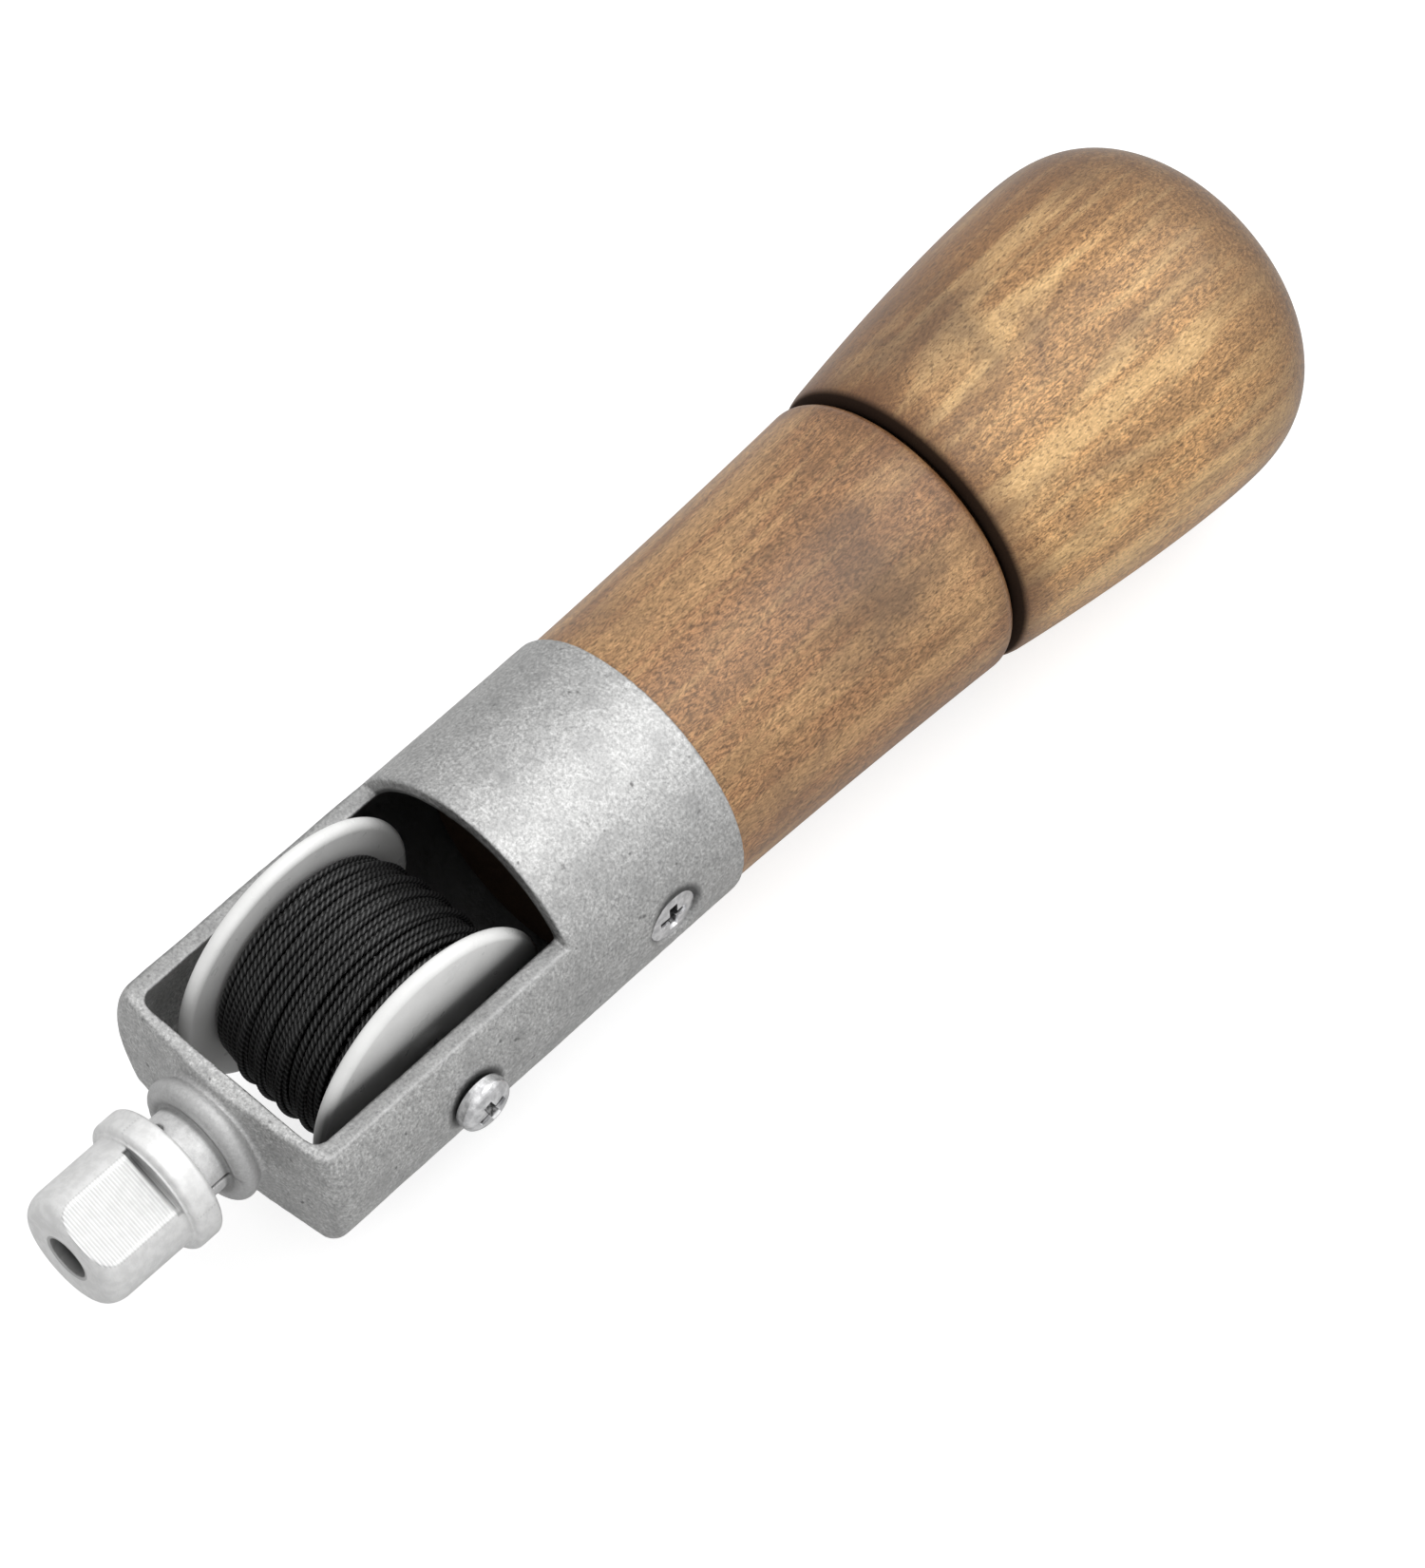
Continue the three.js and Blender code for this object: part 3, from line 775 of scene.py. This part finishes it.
def thread_hole():
    """The hole in the post's side through which the thread enters the needle bore."""
    radius = 1.2
    reach = 6
    middle = NOSE + 11.7
    angle = math.radians(116)
    tool = rod(radius, 0, reach)
    direction = Vector((math.cos(angle), 0, math.sin(angle)))
    swing = Vector((0, 1, 0)).rotation_difference(direction).to_matrix().to_4x4()
    tool.data.transform(Matrix.Translation((0, middle, 0)) @ swing)
    return tool


def slit():
    """The saw cut that splits the post into two springy halves."""
    wide = 12
    length = SLIT_END - NOSE
    gap = 0.45
    turn = 5.5
    return block((wide, length, gap), (0, NOSE + length / 2, 0), turn)


def window(side):
    """What the flat top or bottom of the yoke takes away from the round body."""
    wide = 40
    height = 10
    length = WINDOW_BACK - NOSE
    return block((wide, length, height), (0, NOSE + length / 2, side * (WINDOW_HALF_HEIGHT + height / 2)))


def casting_skin(point):
    """How far the casting's uneven surface stands out at a point. The turned post is even."""
    wave = noise.noise(point / 5) * 0.05
    grit = noise.noise(point / 0.9) * 0.018
    cast = min(1, max(0, (point.y - BEAD_FRONT) / 2))
    return (wave + grit) * cast


def make_frame():
    needle_r = 1.25
    axle_hole_r = M3_R + 0.1
    cavity = cut(yoke_cavity(), axle_boss(1), axle_boss(-1))
    body = join(cut(yoke_outside(), cavity), boss_and_post())
    cut(
        body,
        window(1),
        window(-1),
        rod(needle_r, POST_TIP - 1, WALL_BACK + 1),
        slit(),
        thread_hole(),
        along_x(rod(axle_hole_r, -FERRULE_R - 1, FERRULE_R + 1), AXLE),
        countersink(1),
        countersink(-1),
    )
    soften(body, 0.16, 8)
    displace(body, casting_skin)
    thin_out(body, MOST_TRIANGLES)
    return place(body, "frame_casting", "handle", "frame", cast_metal())


# ---------- chuck nut ----------
def nut_outside(flat_end):
    radius = 5.72
    nose_edge = 1.3
    neck_r = radius + 0.3
    nose_curve = [
        (radius - nose_edge + nose_edge * math.sin(a), NOSE + 2 - 2 * math.cos(a))
        for a in angles_between(0, 90, 13)
    ]
    return turned(rounded([
        (0, NOSE),
        *nose_curve,
        (radius, flat_end),
        (neck_r, flat_end),
        (neck_r, NUT_FLANGE),
        (NUT_FLANGE_R, NUT_FLANGE, 0.5),
        (NUT_FLANGE_R, NUT_BACK, 0.6),
        (0, NUT_BACK),
    ]), 160)


def nut_bore():
    thread_r = POST_THREAD_R + 0.15
    back_r = POST_R + 0.3
    back_bore = NUT_BACK - 1.2
    inside = dense([
        (0, NOSE - 1),
        (NUT_MOUTH_R, NOSE - 1),
        (NUT_MOUTH_R, NOSE + 1.2),
        (thread_r, NOSE + 2.9),
        (thread_r, back_bore - 0.3),
        (back_r, back_bore),
        (back_r, NUT_BACK + 1),
        (0, NUT_BACK + 1),
    ], THREAD_STEP)
    thread = screw_thread(POST_PITCH, -0.4, NOSE + 3, back_bore - 0.3)
    return turned(inside, 96, shape=thread)


def make_nut():
    flat_end = NUT_FLANGE - 0.25
    length = flat_end - NOSE
    wide = 20
    height = 4
    body = cut(nut_outside(flat_end), nut_bore())
    for side in (1, -1):
        centre = (0, NOSE + length / 2, side * (NUT_HALF_FLATS + height / 2))
        cut(body, block((wide, length, height), centre, -NUT_TURN))
    soften(body, 0.075, 4)
    thin_out(body, MOST_TRIANGLES)
    return place(body, "clamping_nut", "nut", "chuck_nut", turned_metal())


# ---------- spool and thread ----------
def make_spool():
    flange = 1.5
    inner = SPOOL_HALF - flange
    hub_r = 4.5
    bore_r = M3_R + 0.25
    profile = rounded([
        (bore_r, -SPOOL_HALF, 0.2),
        (SPOOL_R, -SPOOL_HALF, 0.72),
        (SPOOL_R, -inner, 0.72),
        (hub_r, -inner, 0.4),
        (hub_r, inner, 0.4),
        (SPOOL_R, inner, 0.72),
        (SPOOL_R, SPOOL_HALF, 0.72),
        (bore_r, SPOOL_HALF, 0.2),
    ], 10)
    body = along_x(turned(profile, ROUND, ring=True), AXLE)
    return place(body, "thread_spool", "spool", "spool", spool_plastic())


def winding_radius(x):
    """The radius of the wound thread's outside, which is fullest in the middle."""
    edge_drop = 0.7
    return THREAD_R - edge_drop * (x / THREAD_HALF) ** 2


def cord(points, outwards, radius, facets, relief):
    """A three-stranded cord along a path of points, each with its outward direction. Gives its vertices,
    its faces, and for each vertex how near it is to the crest of a strand."""
    lay = 1.9  # length of one full twist
    tangents = np.gradient(points, axis=0)
    tangents /= np.linalg.norm(tangents, axis=1, keepdims=True)
    sides = np.cross(tangents, outwards)
    sides /= np.linalg.norm(sides, axis=1, keepdims=True)
    ups = np.cross(sides, tangents)
    steps = np.linalg.norm(np.diff(points, axis=0), axis=1)
    twist = np.concatenate([[0], np.cumsum(steps)]) / lay * 2 * math.pi
    rings, crests = [], []
    for k in range(facets):
        angle = 2 * math.pi * k / facets
        crest = abs(math.cos(1.5 * angle))
        spun = (angle + twist)[:, None]
        size = radius * (1 - relief + relief * crest)
        rings.append(points + size * (np.cos(spun) * sides + np.sin(spun) * ups))
        crests.append(np.full(len(points), crest))
    verts = np.stack(rings, axis=1).reshape(-1, 3)
    count = len(points)
    faces = []
    for i in range(count - 1):
        here = i * facets
        ahead = here + facets
        for k in range(facets):
            beside = (k + 1) % facets
            faces.append((here + k, ahead + k, ahead + beside, here + beside))
    faces.append(tuple(range(facets)))
    faces.append(tuple((count - 1) * facets + k for k in reversed(range(facets))))
    return verts, faces, np.stack(crests, axis=1).ravel()


def wound_layer(seed, wraps, start, end, radius, drop, wander, step=0.2, facets=9, relief=0.3):
    """One layer of cord, wound from one x to another at a depth below the winding's outside. It strays
    from its even course by up to about wander."""
    count = int(wraps * 2 * math.pi * THREAD_R / step)
    share = np.linspace(0, 1, count)
    turns = share * wraps
    sway = np.array([noise.noise(Vector((t * 0.45, seed * 7.3, 0))) for t in turns])
    nudge = np.array([noise.noise(Vector((t * 2.1, seed * 5.1, 4))) for t in turns])
    reach = THREAD_HALF - radius
    across = np.clip(start + (end - start) * share + wander * sway + 0.1 * nudge, -reach, reach)
    angle = 2 * math.pi * turns
    distance = winding_radius(across) - drop + 0.2 * np.abs(nudge)
    outward = np.stack([np.zeros(count), np.cos(angle), np.sin(angle)], axis=1)
    points = outward * distance[:, None] + np.stack([across, np.full(count, AXLE), np.zeros(count)], axis=1)
    return cord(points, outward, radius, facets, relief)


def winding_core(drop):
    """The solid inside of the winding, up to a depth below its outside."""
    hub_r = 4.6
    profile = [(winding_radius(x) - drop, x) for x in np.linspace(-THREAD_HALF, THREAD_HALF, 15)]
    ends = ((hub_r, -THREAD_HALF), (hub_r, THREAD_HALF))
    core = along_x(turned([ends[0], *profile, ends[1]], 96, ring=True), AXLE)
    points = [v.co for v in core.data.vertices]
    faces = [tuple(p.vertices) for p in core.data.polygons]
    bpy.data.objects.remove(core)
    return points, faces, np.zeros(len(points))


def make_thread():
    cord_r = 0.34
    reach = THREAD_HALF - cord_r
    parts = [
        wound_layer(0, 23, reach, -reach, cord_r, drop=3 * cord_r, wander=0.1, step=1.2, facets=6, relief=0),
        wound_layer(1, 19.6, -reach, reach, cord_r, drop=1.2 * cord_r, wander=0.25),
        wound_layer(2, 4.3, reach * 0.75, -reach * 0.8, cord_r, drop=-0.1 * cord_r, wander=0.9),
        winding_core(4.2 * cord_r),
    ]
    points, faces, crests = [], [], []
    for part_points, part_faces, part_crests in parts:
        offset = len(points)
        points += [tuple(p) for p in part_points]
        faces += [tuple(offset + i for i in face) for face in part_faces]
        crests += list(part_crests)
    body = mesh_object(points, faces)
    body.data.attributes.new("crest", "FLOAT", "POINT").data.foreach_set("value", crests)
    return place(body, "wound_thread", "spool", "thread_winding", thread_cord())


# ---------- screws ----------
def cross_recess(top, depth, turn):
    """A tapered cross whose mouth is at top, pointing inwards, turned by an angle in degrees."""
    half_arm = RECESS_REACH * 0.3
    corner_signs = ((-1, -1), (1, -1), (1, 1), (-1, 1))
    tools = []
    for wide, high in ((RECESS_REACH, half_arm), (half_arm, RECESS_REACH)):
        points = []
        for share, y in ((1.25, top + depth * 0.5), (0.5, top - depth)):
            points += [(sx * wide * share, y, sz * high * share) for sx, sz in corner_signs]
        sides = [(i, 4 + i, 4 + (i + 1) % 4, (i + 1) % 4) for i in range(4)]
        faces = [(0, 1, 2, 3), (7, 6, 5, 4), *sides]
        tools.append(mesh_object(points, faces))
    cross = join(tools[0], tools[1])
    cross.data.transform(Matrix.Rotation(math.radians(turn), 4, "Y"))
    return cross


def make_axle_screw():
    head_r = (axle_high.z - axle_low.z) / 2
    top = axle_high.x
    tip = axle_low.x
    seat = top - 1.95  # the underside of the head
    thread_pitch = 0.5
    dome = [
        (head_r * math.cos(a) ** 0.75, seat + 0.95 + math.sin(a))
        for a in angles_between(0, 86, 24)
    ]
    profile = [
        (0, tip),
        (M3_R - 0.3, tip),
        (M3_R, tip + 0.4),
        (M3_R, seat),
        (head_r - 0.15, seat),
        (head_r, seat + 0.15),
        *dome,
        (0, top),
    ]
    thread = screw_thread(thread_pitch, 0.28, tip + 0.2, seat - 1)
    body = turned(dense(profile, 0.08), 128, shape=thread)
    cut(body, cross_recess(top, 1.3, 20))
    along_x(body, AXLE)
    shader = plated_steel("axle_plating", AXLE, top)
    return place(body, "spool_axle_screw", "axle", "axle_screw", shader, smooth_angle=32)


def make_ferrule_screw(side, name, node, shader):
    top = screw_high.x - 0.2
    head_r = (screw_high.z - screw_low.z) / 2
    tip = screw_low.x
    core_r = 1.25
    thread_pitch = 0.9
    profile = rounded([
        (0, tip),
        (0.9, tip + 1.4),
        (core_r, tip + 2),
        (core_r, top - 1.6),
        (head_r, top - 0.15, 0.06),
        (head_r - 0.1, top, 0.06),
        (head_r * 0.6, top + 0.12),
        (0, top + 0.16),
    ])
    thread = screw_thread(thread_pitch, 0.3, tip + 1, top - 2)
    body = turned(dense(profile, 0.1), 96, shape=thread)
    cut(body, cross_recess(top + 0.15, 1.2, 0))
    along_x(body, FERRULE_SCREW)
    if side < 0:
        half_turn = Matrix.Rotation(math.pi, 4, "Z")
        body.data.transform(Matrix.Translation((0, 2 * FERRULE_SCREW, 0)) @ half_turn)
    return place(body, name, "handle", node, shader, smooth_angle=32)


# ---------- wooden handle ----------
def around(radius, y, angle):
    """A point on the wood: its radius, its place along the tool, and its angle in degrees from +X to +Z."""
    return radius * math.cos(math.radians(angle)), y, radius * math.sin(math.radians(angle))


def barrel_radius(y):
    """Widens from the ferrule to the joint, with a slight waist."""
    front_r = 13.57
    back_r = 14.85
    waist = 0.6
    share = (y - FERRULE_BACK) / (JOINT - FERRULE_BACK)
    return front_r + (back_r - front_r) * share - waist * share * (1 - share)


def screw_hole(side):
    radius = 1.5
    inner = side * 5.5
    outer = side * 14
    return along_x(rod(radius, min(inner, outer), max(inner, outer)), FERRULE_SCREW)


def make_barrel():
    visible = FERRULE_BACK + 0.05
    edge = 1.6
    bevel = 0.8
    store_front = NOSE + 62
    edge_start = JOINT - edge
    outside = [(barrel_radius(y), y) for y in np.linspace(visible, edge_start, 30)]
    spigot = dense(rounded([
        (SPIGOT_R, JOINT),
        (SPIGOT_R, barrel_high.y, 0.8),
        (STORE_R, barrel_high.y, 0.4),
        (STORE_R, store_front),
        (0, store_front),
    ]), 0.3)
    profile = [
        (0, barrel_low.y),
        (TENON_R - bevel, barrel_low.y),
        (TENON_R, barrel_low.y + bevel),
        (TENON_R, visible),
        *outside,
        *arc((barrel_radius(edge_start) - edge, edge_start), edge, 8, 90, 12),
        *spigot,
    ]
    thread = screw_thread(CAP_THREAD_PITCH, 0.7, JOINT + 0.5, barrel_high.y)

    def shape(radius, y, angles):
        on_spigot = radius > SPIGOT_R - 0.9 and y > JOINT
        return thread(radius, y, angles) if on_spigot else np.full(len(angles), radius)

    body = cut(turned(profile, ROUND, shape=shape), screw_hole(1), screw_hole(-1))
    spot = around(14, FERRULE_BACK + 22, 64)
    shader = stained_wood("wood_barrel", (0.335, 0.174, 0.078), 0.3, spot, 0.15)
    return place(body, "wooden_barrel", "handle", "handle_barrel", shader, smooth_angle=35)


def cap_radius(y, widest, front_r, front):
    """Swells from the front edge to the widest place, then closes as a superellipse."""
    swell_power = 1.6
    dome_power = 2.75
    if y <= widest:
        share = max((widest - y) / (widest - front), 0)
        return CAP_R - (CAP_R - front_r) * share ** swell_power
    share = min((y - widest) / (CAP_END - widest), 1)
    return CAP_R * (1 - share ** dome_power) ** (1 / dome_power)


def make_cap():
    front_r = 15.07
    widest = NOSE + 131.5
    edge = 1.5
    socket = barrel_high.y + 0.5
    socket_r = SPIGOT_R + 0.3
    store_back = NOSE + 132
    swell_places = np.linspace(CAP_FRONT + edge, widest, 40)
    dome_places = widest + (CAP_END - widest) * np.sin(angles_between(2, 88, 44))
    places = (*swell_places, *dome_places)
    outside = [(cap_radius(y, widest, front_r, JOINT + edge), y) for y in places]
    inside = dense(rounded([
        (0, store_back),
        (STORE_R - 3, store_back),
        (STORE_R, store_back - 3, 1.5),
        (STORE_R, socket),
        (socket_r, socket),
        (socket_r, CAP_FRONT, 0.3),
    ]), 0.4)
    front_edge = arc((front_r - edge, CAP_FRONT + edge), edge, -90, -12, 10)
    thread = screw_thread(CAP_THREAD_PITCH, -0.6, CAP_FRONT + 0.3, socket)

    def shape(radius, y, angles):
        in_socket = STORE_R + 1.5 < radius < socket_r + 0.05
        return thread(radius, y, angles) if in_socket else np.full(len(angles), radius)

    body = turned([*inside, *front_edge, *outside, (0, CAP_END)], ROUND, shape=shape)
    spot = around(16, JOINT + 9, 112)
    shader = stained_wood("wood_cap", (0.52, 0.29, 0.12), 0.85, spot, 0.7)
    return place(body, "wooden_cap", "cap", "handle_cap", shader, smooth_angle=35)


# ---------- wrench and needles, stored in the handle ----------
def prism(outline, low, high):
    """An outline in X and Y, made into a plate between two heights."""
    count = len(outline)
    points = [(x, y, z) for z in (low, high) for x, y in outline]
    sides = [(i, (i + 1) % count, count + (i + 1) % count, count + i) for i in range(count)]
    ends = [tuple(reversed(range(count))), tuple(range(count, 2 * count))]
    return mesh_object(points, [*ends, *sides])


def upright(radius, centre, low, high):
    """A round rod that stands along Z."""
    tool = rod(radius, low, high, 96)
    tool.data.transform(Matrix.Translation((*centre, 0)) @ Matrix.Rotation(math.radians(90), 4, "X"))
    return tool


def wrench_outline(low, high, head, head_r):
    """A round head with two flat sides, on a straight handle with a rounded tip."""
    half_handle = 3.0
    neck = 1.5  # fillet between head and handle
    tip = 1.5
    side = half_handle + neck
    rise = math.sqrt((head_r + neck) ** 2 - side ** 2)
    neck_angle = math.degrees(math.atan2(rise, side))
    flat_angle = math.degrees(math.acos(high.x / head_r))
    return [
        *arc((half_handle - tip, low.y + tip), tip, -90, 0),
        *arc((side, head[1] - rise), neck, 180, 180 - neck_angle),
        *arc(head, head_r, -neck_angle, -flat_angle),
        *arc(head, head_r, flat_angle, 180 - flat_angle),
        *arc(head, head_r, 180 + flat_angle, 180 + neck_angle),
        *arc((-side, head[1] - rise), neck, neck_angle, 0),
        *arc((tip - half_handle, low.y + tip), tip, 180, 270),
    ]


def double_d_hole(head, low, high):
    """The hole that fits over the nut's flats."""
    radius = 5.87
    half_flats = 4.85
    wide = 4
    hole = upright(radius, head, low.z - 1, high.z + 1)
    for sign in (1, -1):
        cut(hole, block((wide, 20, 20), (sign * (half_flats + wide / 2), head[1], low.z)))
    return hole


def make_wrench():
    """A flat double-D wrench, whose handle's tip is ground to a shallow wedge."""
    low, high = corners("wrench")
    head_r = 9.0
    head = (0, high.y - head_r)
    ground_off = 0.65  # at the very tip
    wedge_slope = 8
    body = prism(wrench_outline(low, high, head, head_r), low.z, high.z)
    wedge = block((10, 12, 2), (0, 0, 1))
    slope = Matrix.Rotation(math.radians(wedge_slope), 4, "X")
    wedge.data.transform(Matrix.Translation((0, low.y, high.z - ground_off)) @ slope)
    cut(body, double_d_hole(head, low, high), wedge)
    soften(body, 0.13, 5)
    thin_out(body, most_triangles=90000)
    return place(body, "stored_wrench", "stored_tools", "wrench", tool_steel())


def make_needle(name, node, blade_r):
    """A needle with a long eye behind its point, a thread groove, and a channelled shank."""
    low, high = corners(node)
    shank_r = (high.x - low.x) / 2
    point, end = low.y, high.y
    shank = 12
    body = turned(rounded([
        (0, point),
        (blade_r * 0.55, point + 2, 2),
        (blade_r, point + 5, 2),
        (blade_r, end - shank - 3, 3),
        (shank_r, end - shank, 3),
        (shank_r, end, 0.3),
        (0, end),
    ]), 64)
    eye_half_width = 0.275
    eye_half_length = 1.4
    eye = point + 7.2
    groove_r = 0.3
    groove = rod(groove_r, point + 5.5, end - shank + 5.5)
    groove.data.transform(Matrix.Translation((0, 0, blade_r + 0.05)))
    channel_r = 0.45 * shank_r
    channel = rod(channel_r, end - shank + 0.5, end + 1)
    channel.data.transform(Matrix.Translation((0, 0, 0.35 * shank_r)))
    cut(
        body,
        block((2 * eye_half_width, 2 * eye_half_length, 8), (0, eye, 0)),
        upright(eye_half_width, (0, eye - eye_half_length), -4, 4),
        upright(eye_half_width, (0, eye + eye_half_length), -4, 4),
        groove,
        channel,
        block((2 * channel_r, shank, 4), (0, end - shank / 2 + 0.5, 0.35 * shank_r + 2)),
    )
    body.data.transform(Matrix.Translation(((low.x + high.x) / 2, 0, low.z + shank_r)))
    return place(body, name, "stored_tools", node, tool_steel(), smooth_angle=32)


# ---------- stage ----------
def make_floor():
    """A pale floor that looks white to the camera, and lights the object only a little."""
    floor_z = cad_bounds[0].z
    half = 3
    points = [(x * half, y * half, floor_z) for x, y in ((-1, -1), (1, -1), (1, 1), (-1, 1))]
    floor = mesh_object(points, [(0, 1, 2, 3)])
    floor.name = "floor"
    s = Shader("floor", 0.0, 0.9)
    s.set("Base Color", grey(0.5))
    s.set("Specular IOR Level", 0.0)
    s.set("Emission Color", grey(1))
    rays = s.node("LightPath").outputs
    to_camera = s.times(rays["Is Camera Ray"], 0.7)
    to_mirrors = s.times(rays["Is Glossy Ray"], 0.08)
    s.set("Emission Strength", s.math("ADD", to_camera, to_mirrors))
    floor.data.materials.append(s.material)


def make_world():
    """A studio that is brightest above and to the camera's right, and darkest on the opposite side."""
    world = bpy.data.worlds.new("studio")
    world.use_nodes = True
    bpy.context.scene.world = world
    tree = world.node_tree
    direction = tree.nodes.new("ShaderNodeTexCoord").outputs["Generated"]
    facing = tree.nodes.new("ShaderNodeVectorMath")
    facing.operation = "DOT_PRODUCT"
    facing.inputs[1].default_value = Vector((0.28, 0.3, 0.9)).normalized()
    tree.links.new(direction, facing.inputs[0])
    level = tree.nodes.new("ShaderNodeMapRange")
    limits = {"From Min": -0.4, "From Max": 1.0, "To Min": 0.42, "To Max": 1.25}
    for key, value in limits.items():
        level.inputs[key].default_value = value
    tree.links.new(facing.outputs["Value"], level.inputs["Value"])
    background = tree.nodes["Background"].inputs
    background["Color"].default_value = grey(1)
    tree.links.new(level.outputs["Result"], background["Strength"])


def make_key_light():
    """A square soft box, high up and beyond the cap, that looks at the tool's middle."""
    direction = (0.25, 0.5, 1.0)
    distance = 1.0
    size = 0.8
    watts = 2.4
    data = bpy.data.lights.new("key", "AREA")
    data.shape = "SQUARE"
    data.size = size
    data.energy = watts
    lamp = bpy.data.objects.new("key", data)
    lamp.location = Vector(direction).normalized() * distance
    lamp.rotation_euler = (-lamp.location).to_track_quat("-Z", "Y").to_euler()
    bpy.context.scene.collection.objects.link(lamp)


def make_camera():
    """Looks from the photo's side: the angles, the distance and the lens were solved from the ferrule."""
    azimuth = math.radians(43.99)
    elevation = math.radians(56.16)
    roll = math.radians(-0.76)
    distance = 544.9
    side_shift = 7.32
    up_shift = -1.62
    level = math.cos(elevation)
    right = Vector((math.cos(azimuth), math.sin(azimuth), 0))
    back = Vector((math.sin(azimuth) * level, -math.cos(azimuth) * level, math.sin(elevation)))
    up = back.cross(right)
    eye = Vector((0, FERRULE_BACK, 0)) + back * distance + right * side_shift + up * up_shift
    tilted_right = right * math.cos(roll) + up * math.sin(roll)
    tilted_up = back.cross(tilted_right)
    turn = Matrix((tilted_right, tilted_up, back)).transposed().to_4x4()
    data = bpy.data.cameras.new("camera")
    data.lens = 143.05
    data.sensor_width = 36
    data.clip_start = 0.01
    camera = bpy.data.objects.new("camera", data)
    camera.matrix_world = Matrix.Translation(eye * MM) @ turn
    bpy.context.scene.collection.objects.link(camera)
    bpy.context.scene.camera = camera


# ---------- assembly ----------
make_frame()
make_nut()
make_spool()
make_thread()
make_axle_screw()
screw_finish = plated_steel("screw_plating", FERRULE_SCREW, screw_high.x)
make_ferrule_screw(1, "ferrule_screw_near", "ferrule_screw_right", screw_finish)
make_ferrule_screw(-1, "ferrule_screw_far", "ferrule_screw_left", screw_finish)
make_barrel()
make_cap()
make_wrench()
make_needle("stored_needle_fine", "needle_fine", 0.55)
make_needle("stored_needle_coarse", "needle_coarse", 0.65)

make_floor()
make_world()
make_key_light()
make_camera()
bpy.context.scene.view_settings.view_transform = "Standard"
